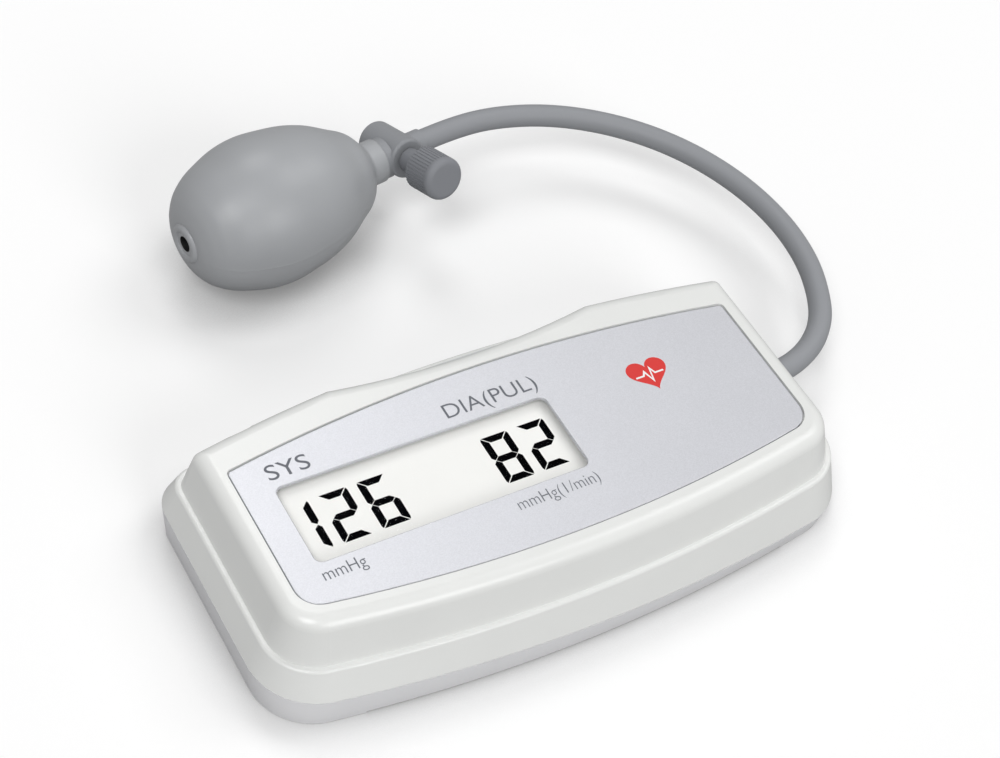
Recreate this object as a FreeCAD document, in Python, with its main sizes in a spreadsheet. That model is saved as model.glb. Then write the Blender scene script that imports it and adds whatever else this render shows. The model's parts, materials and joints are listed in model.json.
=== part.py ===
import FreeCAD, Part

import math
import os

import Sketcher
from FreeCAD import Placement, Rotation, Vector

# Semi-automatic upper-arm blood pressure monitor with its hand bulb.
# Millimetres. +X runs along the casing to the hose end, +Y to the back, +Z up.
# The origin is the middle of the space that casing and bulb take up, on the surface they rest on.
# Sub-parts are drawn about the middle of the casing's underside and then moved by casing_back.

doc = FreeCAD.newDocument("arm_pressure_monitor")
sheet = doc.addObject("Spreadsheet::Sheet", "Sizes")
sheet.Label = "Sizes"
nodes = []
drawn_y = {}


class Size:
    """A length together with the sheet expression that gives it."""

    def __init__(self, value, text):
        self.value = float(value)
        self.text = text

    def __add__(self, other):
        other = as_size(other)
        return Size(self.value + other.value, f"({self.text} + {other.text})")

    def __sub__(self, other):
        other = as_size(other)
        return Size(self.value - other.value, f"({self.text} - {other.text})")

    def __mul__(self, other):
        other = as_size(other)
        return Size(self.value * other.value, f"({self.text} * {other.text})")

    def __truediv__(self, other):
        other = as_size(other)
        return Size(self.value / other.value, f"({self.text} / {other.text})")

    def __radd__(self, other):
        return as_size(other) + self

    def __rsub__(self, other):
        return as_size(other) - self

    def __rmul__(self, other):
        return as_size(other) * self

    def __neg__(self):
        return as_size(0) - self


def as_size(number):
    """Wrap a bare number so that it can be mixed with sheet sizes."""
    if isinstance(number, Size):
        return number
    return Size(number, f"({float(number)!r})")


def size(name, value, note):
    """Put one driving dimension in the sheet and return it."""
    size.row += 1
    sheet.set(f"A{size.row}", name)
    sheet.set(f"B{size.row}", str(value))
    sheet.set(f"C{size.row}", note)
    sheet.setAlias(f"B{size.row}", name)
    return Size(value, f"Sizes.{name}")


size.row = 0

casing_back = size("casing_back", -42.4, "from the origin to the middle of the casing")

# ---------------------------------------------------------------- casing
ridge_half_length = size("ridge_half_length", 81.7, "half length at the ledge")
ridge_half_width = size("ridge_half_width", 32.7, "half width at the corners of the ledge")
side_bow = size("side_bow", 8.0, "how far the long sides bulge")
ridge_corner_radius = size("ridge_corner_radius", 14.4, "plan radius of the ledge's front corners")
ridge_back_radius = size("ridge_back_radius", 6.2, "plan radius of the ledge's back corners")
ridge_height = size("ridge_height", 18.9, "height of the ledge")
ledge_width = size("ledge_width", 1.3, "width of the ledge round the foot of the band")
ledge_thickness = size("ledge_thickness", 1.5, "casing under the ledge")
ledge_round = size("ledge_round", 0.9, "rounding of the ledge's outer edge")
casing_top = size("casing_top", 31.8, "height of the rim")
band_taper = size("band_taper", -15.0, "lean of the band, degrees")
rim_round = size("rim_round", 4.0, "rounding from the rim into the band")
wall_flare = size("wall_flare", 3.2, "how far the skirt flares below the ledge")
parting_height = size("parting_height", 8.4, "height of the parting line in the middle")
parting_slope = size("parting_slope", 1.72, "fall of the parting line to the right, degrees")
seam_gap = size("seam_gap", 0.25, "shadow gap between the casings")
base_inset = size("base_inset", 1.0, "how far the base lies inside the parting line")
base_round = size("base_round", 0.5, "rounding of the underside's edge")
wall_thickness = size("wall_thickness", 2.4, "casing wall")
floor_thickness = size("floor_thickness", 3.0, "floor at the foot pads")
roof_thickness = size("roof_thickness", 1.6, "roof under the front panel")
foot_relief = size("foot_relief", 1.0, "how far the underside is raised between the foot pads")
foot_pad_length = size("foot_pad_length", 20.7, "foot pads, from the ends of the ledge inwards")
scoop_radius = size("scoop_radius", 232.0, "plan radius of the finger recess at the back")
scoop_depth = size("scoop_depth", 5.0, "depth of the finger recess")
boss_inset = size("boss_inset", 13.7, "screw bosses from the ends of the ledge")
boss_y = size("boss_y", 25.0, "screw boss position across the casing")
boss_diameter = size("boss_diameter", 8.0, "screw boss")
boss_joint_height = size("boss_joint_height", 12.3, "height where the bosses meet")

# ---------------------------------------------------------------- panel and display
panel_inset = size("panel_inset", 9.35, "front panel from the ends of the ledge")
panel_half_width = size("panel_half_width", 21.65, "front panel half width at its corners")
panel_bow = size("panel_bow", 6.55, "bulge of the panel's long sides")
panel_shift = size("panel_shift", -2.15, "panel centre, towards the front")
panel_front_radius = size("panel_front_radius", 6.5, "front corners of the panel")
panel_back_radius = size("panel_back_radius", 1.2, "back corners of the panel")
panel_thickness = size("panel_thickness", 1.0, "front panel plate")
panel_drop = size("panel_drop", 0.3, "panel face below the rim")
panel_gap = size("panel_gap", 0.35, "gap round the panel")
panel_edge_round = size("panel_edge_round", 0.25, "rounding of the panel's edges")
window_inset = size("window_inset", 8.35, "display window from the left end of the panel")
window_length = size("window_length", 75.7, "display window")
window_front = size("window_front", -13.65, "display window")
window_back = size("window_back", 10.7, "display window")
window_radius = size("window_radius", 2.0, "corners of the display window")
lens_overlap = size("lens_overlap", 1.6, "lens beyond the window on each side")
lens_thickness = size("lens_thickness", 1.3, "clear lens")
lens_clearance = size("lens_clearance", 0.2, "lens in the roof opening")
display_overlap = size("display_overlap", 2.4, "display glass beyond the window on each side")
display_thickness = size("display_thickness", 2.8, "display glass")
display_gap = size("display_gap", 0.3, "display glass below the roof")
frame_wall = size("frame_wall", 1.6, "display frame wall")
frame_clearance = size("frame_clearance", 0.15, "display glass in its frame")
strip_width = size("strip_width", 2.4, "elastomer contact strip")
strip_inset = size("strip_inset", 5.0, "contact strip from the back edge of the glass")
frame_lip = size("frame_lip", 4.0, "frame under the glass, at its ends and front")
frame_back_lip = size("frame_back_lip", 7.0, "frame under the glass, at its back")

# ---------------------------------------------------------------- board
board_margin = size("board_margin", 5.0, "circuit board beyond the left end of the window")
board_room = size("board_room", 4.0, "between the circuit board and the air manifold")
board_front = size("board_front", -16.0, "circuit board")
board_back = size("board_back", 20.4, "circuit board")
board_thickness = size("board_thickness", 1.6, "circuit board")
board_post_height = size("board_post_height", 1.2, "posts under the board")
board_post_diameter = size("board_post_diameter", 5.0, "posts under the board")
board_post_x = size("board_post_x", 24.0, "posts under the board")
board_post_y = size("board_post_y", 11.0, "posts under the board")
sensor_width = size("sensor_width", 10.0, "pressure sensor block")
sensor_depth = size("sensor_depth", 4.5, "pressure sensor block height")
sensor_inset = size("sensor_inset", 2.0, "sensor from the board's right edge")
sensor_nipple = size("sensor_nipple", 4.5, "nipple on the pressure sensor")
switch_width = size("switch_width", 6.0, "push switch")
switch_depth = size("switch_depth", 4.8, "push switch, front to back")
switch_height = size("switch_height", 4.6, "push switch")
switch_inset = size("switch_inset", 0.5, "push switch from the board's back edge")
plunger_radius = size("plunger_radius", 1.6, "push switch plunger")
plunger_length = size("plunger_length", 1.5, "push switch plunger")

# ---------------------------------------------------------------- start button
button_half_width = size("button_half_width", 11.0, "start button")
button_low = size("button_low", 21.8, "start button")
button_high = size("button_high", 28.2, "start button")
button_clearance = size("button_clearance", 0.25, "button in its opening")
button_proud = size("button_proud", 1.2, "button beyond the wall of the recess")
button_flange = size("button_flange", 2.4, "flange beyond the cap at its ends")
button_flange_thickness = size("button_flange_thickness", 1.2, "flange behind the wall")
button_travel_gap = size("button_travel_gap", 0.8, "between the button's rib and the switch")
button_round = size("button_round", 0.8, "rounding of the button's edges")
button_flange_low = size("button_flange_low", 1.0, "flange below the cap")
button_flange_high = size("button_flange_high", 0.4, "flange above the cap")
button_rib_half_width = size("button_rib_half_width", 1.5, "rib behind the button")
button_rib_half_height = size("button_rib_half_height", 1.2, "rib behind the button")

# ---------------------------------------------------------------- battery bay
cell_radius = size("cell_radius", 7.1, "AA cell")
cell_length = size("cell_length", 49.2, "AA cell without its cap")
cap_radius = size("cap_radius", 2.75, "positive cap")
cap_length = size("cap_length", 1.3, "positive cap")
cell_pitch = size("cell_pitch", 14.8, "from one cell to the next")
bay_side_room = size("bay_side_room", 0.7, "beside the outer cells")
bay_end_room = size("bay_end_room", 2.75, "beyond each end of a cell, for contacts and springs")
bay_y = size("bay_y", -1.5, "battery bay centre, towards the front")
bay_wall = size("bay_wall", 1.6, "battery bay wall")
bay_roof_height = size("bay_roof_height", 17.6, "battery bay inside, top")
door_thickness = size("door_thickness", 1.6, "battery door")
door_overlap = size("door_overlap", 1.5, "door beyond the bay on each side")
door_clearance = size("door_clearance", 0.3, "gap round the door")
cell_clearance = size("cell_clearance", 0.3, "between the door and the cells")
hinge_pin = size("hinge_pin", 0.5, "radius of the door's hinge pins")
hinge_pin_length = size("hinge_pin_length", 1.5, "hinge pins beyond the door's ends")
hinge_fit = size("hinge_fit", 0.06, "hinge pins in their holes")
groove_half_width = size("groove_half_width", 8.0, "thumb groove in the door")
groove_depth = size("groove_depth", 4.0, "thumb groove, front to back")
groove_inset = size("groove_inset", 3.0, "thumb groove from the door's front edge")
contact_thickness = size("contact_thickness", 0.4, "contact plates")
contact_width = size("contact_width", 10.0, "contact plates")
leaf_thickness = size("leaf_thickness", 0.3, "contact leaf springs")
leaf_reach = size("leaf_reach", 4.2, "contact leaf springs, half height at the plate")
leaf_width = size("leaf_width", 6.0, "contact leaf springs")

# ---------------------------------------------------------------- air path in the casing
air_drop = size("air_drop", 5.7, "air path below the ledge")
inlet_y = size("inlet_y", 5.0, "hose inlet position")
bushing_radius = size("bushing_radius", 4.1, "inlet bushing and cuff socket body")
bushing_clearance = size("bushing_clearance", 0.05, "body in the casing's hole")
bushing_proud = size("bushing_proud", 1.5, "bushing beyond the wall")
flange_half_width = size("flange_half_width", 5.6, "square flange inside the wall")
flange_below = size("flange_below", 5.2, "flange below the air path")
flange_above = size("flange_above", 3.9, "flange above the air path")
flange_thickness = size("flange_thickness", 1.4, "flange inside the wall")
nipple_radius = size("nipple_radius", 2.0, "tube nipples")
nipple_length = size("nipple_length", 7.8, "tube nipples")
air_bore = size("air_bore", 1.3, "air bores")
cuff_inset = size("cuff_inset", 25.7, "cuff socket from the end of the ledge")
cuff_bore = size("cuff_bore", 2.1, "cuff socket bore radius")
cuff_bore_length = size("cuff_bore_length", 10.0, "cuff socket bore")
cuff_end_y = size("cuff_end_y", 39.8, "outer end of the cuff socket")
manifold_width = size("manifold_width", 12.0, "air manifold block")
manifold_depth = size("manifold_depth", 10.0, "air manifold block")
manifold_nipple = size("manifold_nipple", 6.0, "manifold nipples towards the inlet and the socket")
thin_nipple_length = size("thin_nipple_length", 2.4, "manifold nipple towards the sensor")
thin_nipple_inset = size("thin_nipple_inset", 3.0, "sensor nipple from the manifold's left side")
thin_bore = size("thin_bore", 0.7, "bore towards the sensor")
stand_half_x = size("stand_half_x", 4.0, "stand under the manifold")
stand_half_y = size("stand_half_y", 3.0, "stand under the manifold")
tube_wall = size("tube_wall", 1.15, "wall of the inner tubes")
tube_fit = size("tube_fit", 0.05, "tube over nipple")
thin_nipple = size("thin_nipple", 1.4, "sensor nipples")
sensor_bend = size("sensor_bend", 3.5, "bend of the sensor tube")
bleed_radius = size("bleed_radius", 3.5, "slow-release valve")
bleed_length = size("bleed_length", 9.0, "slow-release valve")
bleed_slot_depth = size("bleed_slot_depth", 4.0, "driver slot in the slow-release valve")
bleed_slot_half = size("bleed_slot_half", 0.3, "half width of the driver slot")

# ---------------------------------------------------------------- screws
screw_head_radius = size("screw_head_radius", 2.7, "casing screws")
screw_head_height = size("screw_head_height", 2.0, "casing screws")
screw_radius = size("screw_radius", 1.4, "casing screws")
screw_grip = size("screw_grip", 7.0, "thread in the upper boss")
screw_clearance = size("screw_clearance", 0.2, "round the screw")

# ---------------------------------------------------------------- bulb and valve
bulb_x = size("bulb_x", -46.78, "bulb's inlet end")
bulb_y = size("bulb_y", 103.0, "bulb's inlet end")
bulb_radius = size("bulb_radius", 21.4, "bulb at its widest")
bulb_rest = size("bulb_rest", 0.1, "bulb above the surface")
bulb_length = size("bulb_length", 64.3, "bulb with its neck")
bulb_wall = size("bulb_wall", 2.4, "bulb wall")
bulb_turn = size("bulb_turn", 9.0, "bulb's direction in plan, degrees")
neck_radius = size("neck_radius", 6.5, "bulb neck")
neck_start = size("neck_start", 59.5, "where the bulb meets its neck")
inlet_radius = size("inlet_radius", 5.0, "inlet valve body")
inlet_rim = size("inlet_rim", 5.8, "inlet valve rim")
inlet_rim_round = size("inlet_rim_round", 1.3, "section radius of the rim")
inlet_rim_sunk = size("inlet_rim_sunk", 0.35, "centre of the rim's section inside the bulb's end")
inlet_face = size("inlet_face", 0.3, "face inside the rim, beyond the bulb's end")
inlet_depth = size("inlet_depth", 11.7, "inlet valve body in the bulb")
inlet_hole = size("inlet_hole", 2.2, "inlet valve mouth")
inlet_seat = size("inlet_seat", 1.4, "air hole that the ball closes")
inlet_seat_thickness = size("inlet_seat_thickness", 1.0, "wall between the mouth and the ball's cage")
ball_radius = size("ball_radius", 2.0, "inlet valve ball")
ball_room = size("ball_room", 2.4, "bore of the ball's cage")
ball_seat_x = size("ball_seat_x", 5.2, "start of the ball's cage")
ball_lift = size("ball_lift", 0.8, "travel of the ball")
valve_x = size("valve_x", 70.8, "valve centre along the bulb's axis")
valve_tilt = size("valve_tilt", 18.5, "knob's rise above level, degrees")
valve_radius = size("valve_radius", 5.9, "valve body across the bulb's axis")
valve_far = size("valve_far", 10.8, "valve body from its centre to the far end")
valve_near = size("valve_near", 6.0, "valve body from its centre to the knob side")
valve_round = size("valve_round", 0.9, "rounding of the valve body's ends")
spigot_radius = size("spigot_radius", 4.4, "valve spigot in the bulb's neck")
spigot_fit = size("spigot_fit", 0.05, "spigot in the neck")
spigot_length = size("spigot_length", 15.0, "valve spigot from the centre")
collar_thickness = size("collar_thickness", 2.2, "valve collar against the bulb's neck")
collar_step = size("collar_step", 0.5, "valve collar inside the neck's outline")
outlet_wall = size("outlet_wall", 0.6, "hose outlet beyond the hose")
knob_collar = size("knob_collar", 0.9, "collar on the stem, beyond the stem")
outlet_length = size("outlet_length", 8.5, "hose outlet from the valve's centre")
valve_bore = size("valve_bore", 1.5, "valve air bores")
stem_radius = size("stem_radius", 2.6, "release knob stem")
stem_fit = size("stem_fit", 0.06, "stem in its bore")
stem_depth = size("stem_depth", 2.0, "stem end beyond the valve's centre, inward")
needle_length = size("needle_length", 2.4, "release valve needle")
needle_radius = size("needle_radius", 1.1, "release valve needle at the stem")
needle_fit = size("needle_fit", 0.08, "needle in its seat")
vent_radius = size("vent_radius", 0.6, "vent hole behind the needle")
knob_start = size("knob_start", 13.2, "knob's inner face from the valve's centre")
knob_end = size("knob_end", 23.8, "knob's outer face from the valve's centre")
knob_radius = size("knob_radius", 6.3, "release knob")
knob_round = size("knob_round", 1.8, "rounding of the knob's outer edge")
knob_flutes = size("knob_flutes", 40, "grooves round the knob")
flute_radius = size("flute_radius", 0.2, "groove in the knob")
ring_wire = size("ring_wire", 0.5, "O-ring section radius")
ring_position = size("ring_position", 4.6, "O-ring from the valve's centre")
disc_radius = size("disc_radius", 1.9, "check valve disc")
disc_thickness = size("disc_thickness", 1.0, "check valve disc")
disc_room = size("disc_room", 2.2, "check valve chamber")
hose_radius = size("hose_radius", 3.3, "hose outside")
hose_outlet_run = size("hose_outlet_run", 11.0, "straight start of the hose at the valve")
hose_inlet_run = size("hose_inlet_run", 4.9, "straight end of the hose at the casing")

# ---------------------------------------------------------------- places that follow
parting_half_length = ridge_half_length + wall_flare
parting_half_width = ridge_half_width + wall_flare
parting_corner = ridge_corner_radius + wall_flare
parting_back_corner = ridge_back_radius + wall_flare
foot_inner_x = ridge_half_length - foot_pad_length
boss_x = ridge_half_length - boss_inset
panel_half_length = ridge_half_length - panel_inset
window_left = window_inset - panel_half_length
window_right = window_left + window_length
panel_top = casing_top - panel_drop
panel_under = panel_top - panel_thickness
roof_under = panel_under - roof_thickness
display_top = roof_under - display_gap
display_under = display_top - display_thickness
bay_top = bay_roof_height + bay_wall
board_under = bay_top + board_post_height
board_top = board_under + board_thickness
inner_half_length = ridge_half_length - wall_thickness
inside_back_wall = ridge_half_width - wall_thickness - 5
bay_half_width = cell_pitch * 1.5 + cell_radius + bay_side_room
bay_half_depth = (cell_length + cap_length) / 2 + bay_end_room
inlet_wall_x = inner_half_length
inlet_end_x = ridge_half_length + wall_flare * 0.56 + bushing_proud
door_top = foot_relief + door_thickness
cell_height = door_top + cell_clearance + cell_radius
air_height = ridge_height - air_drop
cuff_x = ridge_half_length - cuff_inset
manifold_left = cuff_x - manifold_width / 2
manifold_right = cuff_x + manifold_width / 2
board_left = window_left - board_margin
board_right = manifold_left - board_room
casing_reach = parting_half_width + side_bow + 15
hinge_y = bay_y + bay_half_depth + door_overlap - door_thickness / 2
hinge_height = foot_relief + door_thickness / 2
cuff_flange_y = size("cuff_flange_y", 33.2, "face of the socket's flange, against the wall")
cuff_body_y = cuff_end_y - cuff_bore_length - 1.2
band_run = (casing_top - ridge_height) * math.tan(math.radians(-band_taper.value))
band_room_foot = ridge_height - ledge_thickness - 0.2
band_room_growth = (roof_under - band_room_foot) * math.tan(math.radians(-band_taper.value))
top_half_length = ridge_half_length - ledge_width - band_run
top_half_width = ridge_half_width - ledge_width - band_run


# ---------------------------------------------------------------- helpers
def body(label):
    """Start a sub-part."""
    made = doc.addObject("PartDesign::Body", label)
    made.Label = label
    bind(made, "Placement.Base.y", casing_back)
    nodes.append(made)
    return made


def plane_of(part, role):
    """One of the body's own origin planes."""
    return [item for item in part.Origin.OriginFeatures if item.Role == role][0]


def bind(thing, prop, value):
    """Tie a property to the sheet."""
    thing.setExpression(prop, as_size(value).text)


def sketch(part, name, role="XY_Plane", height=0, shift_y=None, tilt=None):
    """A sketch on an origin plane, raised by height, shifted or tilted if asked."""
    made = part.newObject("Sketcher::SketchObject", name)
    made.AttachmentSupport = [(plane_of(part, role), "")]
    made.MapMode = "FlatFace"
    height = as_size(height)
    angle = tilt.value if tilt else 0
    shift = shift_y.value if shift_y else 0
    made.AttachmentOffset = Placement(Vector(0, shift, height.value), Rotation(Vector(0, 1, 0), angle))
    bind(made, "AttachmentOffset.Base.z", height)
    if shift_y:
        bind(made, "AttachmentOffset.Base.y", shift_y)
    if tilt:
        bind(made, "AttachmentOffset.Rotation.Angle", tilt)
    return made


def dimension(made, kind, where, value):
    """A named constraint that follows the sheet."""
    value = as_size(value)
    index = made.addConstraint(Sketcher.Constraint(kind, *where, value.value))
    name = f"d{index}"
    made.renameConstraint(index, name)
    made.setExpression(f"Constraints.{name}", value.text)


def place_point(made, geometry, point, x, y):
    """Fix a point's distances from the origin."""
    for kind, axis, value in (("DistanceX", -2, as_size(x)), ("DistanceY", -1, as_size(y))):
        if abs(value.value) < 1e-9:
            made.addConstraint(Sketcher.Constraint("PointOnObject", geometry, point, axis))
        elif value.value > 0:
            dimension(made, kind, (-1, 1, geometry, point), value)
        else:
            dimension(made, kind, (geometry, point, -1, 1), -value)


def polygon(made, points):
    """A closed outline of straight lines through the points."""
    first = made.GeometryCount
    count = len(points)
    spots = [Vector(as_size(x).value, as_size(y).value, 0) for x, y in points]
    for index in range(count):
        made.addGeometry(Part.LineSegment(spots[index], spots[(index + 1) % count]), False)
    for index in range(count):
        after = first + (index + 1) % count
        made.addConstraint(Sketcher.Constraint("Coincident", first + index, 2, after, 1))
    for index, (x, y) in enumerate(points):
        place_point(made, first + index, 1, x, y)


def rectangle(made, x0, x1, y0, y1):
    """An upright rectangle."""
    polygon(made, [(x0, y0), (x1, y0), (x1, y1), (x0, y1)])


def circle(made, x, y, radius):
    """A circle."""
    radius = as_size(radius)
    centre = Vector(as_size(x).value, as_size(y).value, 0)
    index = made.addGeometry(Part.Circle(centre, Vector(0, 0, 1), radius.value), False)
    place_point(made, index, 3, x, y)
    dimension(made, "Radius", (index,), radius)


def rounded_rectangle(made, x0, x1, y0, y1, radius):
    """A rectangle with round corners."""
    left, right, low, high, r = [as_size(item).value for item in (x0, x1, y0, y1, radius)]
    turns = (
        (right - r, high - r, 0.0),
        (left + r, high - r, 0.5),
        (left + r, low + r, 1.0),
        (right - r, low + r, 1.5),
    )
    first = made.GeometryCount
    starts = (
        Vector(right, low + r, 0),
        Vector(right - r, high, 0),
        Vector(left, high - r, 0),
        Vector(left + r, low, 0),
    )
    ends = (
        Vector(right, high - r, 0),
        Vector(left + r, high, 0),
        Vector(left, low + r, 0),
        Vector(right - r, low, 0),
    )
    for start, end, (cx, cy, turn) in zip(starts, ends, turns):
        made.addGeometry(Part.LineSegment(start, end), False)
        ring = Part.Circle(Vector(cx, cy, 0), Vector(0, 0, 1), r)
        made.addGeometry(Part.ArcOfCircle(ring, turn * math.pi, (turn + 0.5) * math.pi), False)
    for index in range(8):
        after = first + (index + 1) % 8
        made.addConstraint(Sketcher.Constraint("Tangent", first + index, 2, after, 1))
    for index in (0, 4):
        made.addConstraint(Sketcher.Constraint("Vertical", first + index))
    for index in (2, 6):
        made.addConstraint(Sketcher.Constraint("Horizontal", first + index))
    for index in (3, 5, 7):
        made.addConstraint(Sketcher.Constraint("Equal", first + 1, first + index))
    dimension(made, "Radius", (first + 1,), radius)
    sides = (
        (0, "DistanceX", x1),
        (4, "DistanceX", x0),
        (2, "DistanceY", y1),
        (6, "DistanceY", y0),
    )
    for index, kind, value in sides:
        value = as_size(value)
        if value.value > 0:
            dimension(made, kind, (-1, 1, first + index, 1), value)
        else:
            dimension(made, kind, (first + index, 1, -1, 1), -value)


def bowed_outline(made, half_length, half_width, bow, front_radius, back_radius):
    """Straight ends, bulging long sides and round corners, centred on the sketch."""
    a, b, s = half_length.value, half_width.value, bow.value
    swing = (a * a + s * s) / (2 * s)
    middle = b + s - swing
    corners = {}
    for key, radius in (("front", front_radius.value), ("back", back_radius.value)):
        cx = a - radius
        cy = middle + math.sqrt((swing - radius) ** 2 - cx * cx)
        corners[key] = (cx, cy, math.atan2(cy - middle, cx), radius)

    def arc(x, y, radius, start, end):
        ring = Part.Circle(Vector(x, y, 0), Vector(0, 0, 1), radius)
        made.addGeometry(Part.ArcOfCircle(ring, start, end), False)

    fx, fy, fa, fr = corners["front"]
    bx, by, ba, br = corners["back"]
    half = math.pi
    made.addGeometry(Part.LineSegment(Vector(a, -fy, 0), Vector(a, by, 0)), False)
    arc(bx, by, br, 0, ba)
    arc(0, middle, swing, ba, half - ba)
    arc(-bx, by, br, half - ba, half)
    made.addGeometry(Part.LineSegment(Vector(-a, by, 0), Vector(-a, -fy, 0)), False)
    arc(-fx, -fy, fr, half, half + fa)
    arc(0, -middle, swing, half + fa, 2 * half - fa)
    arc(fx, -fy, fr, 2 * half - fa, 2 * half)
    for index in range(8):
        made.addConstraint(Sketcher.Constraint("Tangent", index, 2, (index + 1) % 8, 1))
    made.addConstraint(Sketcher.Constraint("Vertical", 0))
    made.addConstraint(Sketcher.Constraint("Vertical", 4))
    made.addConstraint(Sketcher.Constraint("Equal", 1, 3))
    made.addConstraint(Sketcher.Constraint("Equal", 5, 7))
    made.addConstraint(Sketcher.Constraint("Equal", 2, 6))
    made.addConstraint(Sketcher.Constraint("PointOnObject", 2, 3, -2))
    made.addConstraint(Sketcher.Constraint("PointOnObject", 6, 3, -2))
    swing_size = (half_length * half_length + bow * bow) / (bow * 2)
    reach = swing_size - bow - half_width
    dimension(made, "Radius", (1,), back_radius)
    dimension(made, "Radius", (5,), front_radius)
    dimension(made, "Radius", (2,), swing_size)
    dimension(made, "DistanceY", (2, 3, -1, 1), reach)
    dimension(made, "DistanceY", (-1, 1, 6, 3), reach)
    dimension(made, "DistanceX", (-1, 1, 0, 1), half_length)
    dimension(made, "DistanceX", (4, 1, -1, 1), half_length)


def pad(part, profile, length, reverse=False, taper=None, both=False):
    """Add material from a sketch."""
    made = part.newObject("PartDesign::Pad", profile.Name + "_pad")
    made.Profile = profile
    bind(made, "Length", length)
    made.Reversed = reverse
    if taper:
        bind(made, "TaperAngle", taper)
    if both:
        made.SideType = "Symmetric"
    return made


def pocket(part, profile, length, reverse=False, taper=None, both=False):
    """Remove material from a sketch, and make sure that some went."""
    doc.recompute()
    before = part.Tip.Shape.Volume
    made = part.newObject("PartDesign::Pocket", profile.Name + "_pocket")
    made.Profile = profile
    bind(made, "Length", length)
    made.Reversed = reverse
    if taper:
        bind(made, "TaperAngle", taper)
    if both:
        made.SideType = "Symmetric"
    doc.recompute()
    if made.Shape.Volume >= before - 1e-6:
        raise ValueError(f"{profile.Name} cuts nothing")
    return made


def loft(part, low, high):
    """Straight-sided material between two outlines."""
    made = part.newObject("PartDesign::AdditiveLoft", low.Name + "_loft")
    made.Profile = low
    made.Sections = [high]
    made.Ruled = True
    return made


def edge_names(shape, wanted):
    """Names of the edges that the test accepts."""
    return [f"Edge{index + 1}" for index, edge in enumerate(shape.Edges) if wanted(edge)]


def fillet(part, wanted, radius):
    """Round the tip's edges that the test accepts."""
    doc.recompute()
    base = part.Tip
    made = part.newObject("PartDesign::Fillet", base.Name + "_round")
    made.Base = (base, edge_names(base.Shape, wanted))
    bind(made, "Radius", radius)
    doc.recompute()
    return made


def level(edge, height):
    """Whether an edge lies at a height."""
    box = edge.BoundBox
    return abs(box.ZMin - height.value) < 1e-3 and abs(box.ZMax - height.value) < 1e-3


def place(thing, x=0, y=0, z=0, rotation=None):
    """Put a primitive somewhere, tied to the sheet."""
    thing.Placement = Placement(Vector(0, 0, 0), rotation or Rotation())
    bind(thing, "Placement.Base.x", x)
    bind(thing, "Placement.Base.y", y)
    bind(thing, "Placement.Base.z", z)
    drawn_y[thing.Name] = as_size(y)


def block(name, x0, x1, y0, y1, z0, z1):
    """A box between six planes."""
    made = doc.addObject("Part::Box", name)
    bind(made, "Length", as_size(x1) - x0)
    bind(made, "Width", as_size(y1) - y0)
    bind(made, "Height", as_size(z1) - z0)
    place(made, x0, y0, z0)
    return made


ALONG = {
    "x": Rotation(Vector(0, 0, 1), Vector(1, 0, 0)),
    "y": Rotation(Vector(0, 0, 1), Vector(0, 1, 0)),
    "z": Rotation(),
}


def rod(name, radius, length, x, y, z, along="z"):
    """A round bar from a point, along an axis."""
    made = doc.addObject("Part::Cylinder", name)
    bind(made, "Radius", radius)
    bind(made, "Height", length)
    place(made, x, y, z, ALONG[along])
    return made


def fused(name, parts):
    """Join primitives."""
    made = doc.addObject("Part::MultiFuse", name)
    made.Shapes = parts
    made.Refine = True
    return made


def less(name, base, tools):
    """Take primitives away."""
    made = doc.addObject("Part::Cut", name)
    made.Base = base
    made.Tool = tools[0] if len(tools) == 1 else fused(name + "_tools", tools)
    made.Refine = True
    return made


def node(thing, label):
    """Name a finished sub-part and move it to its place."""
    thing.Label = label
    bind(thing, "Placement.Base.y", drawn_y.get(thing.Name, as_size(0)) + casing_back)
    nodes.append(thing)
    return thing


def feature(label, shape, placement=None):
    """A sub-part whose shape is built directly."""
    made = doc.addObject("Part::Feature", label)
    made.Label = label
    made.Shape = shape
    made.Placement = Placement(Vector(0, casing_back.value, 0), Rotation()) * (placement or Placement())
    nodes.append(made)
    return made


# ---------------------------------------------------------------- casing
def parting_sketch(part, name, lift):
    """The outline on the sloping parting plane."""
    made = sketch(part, name, height=parting_height + lift, tilt=parting_slope)
    bowed_outline(
        made, parting_half_length, parting_half_width, side_bow, parting_corner, parting_back_corner)
    return made


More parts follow.
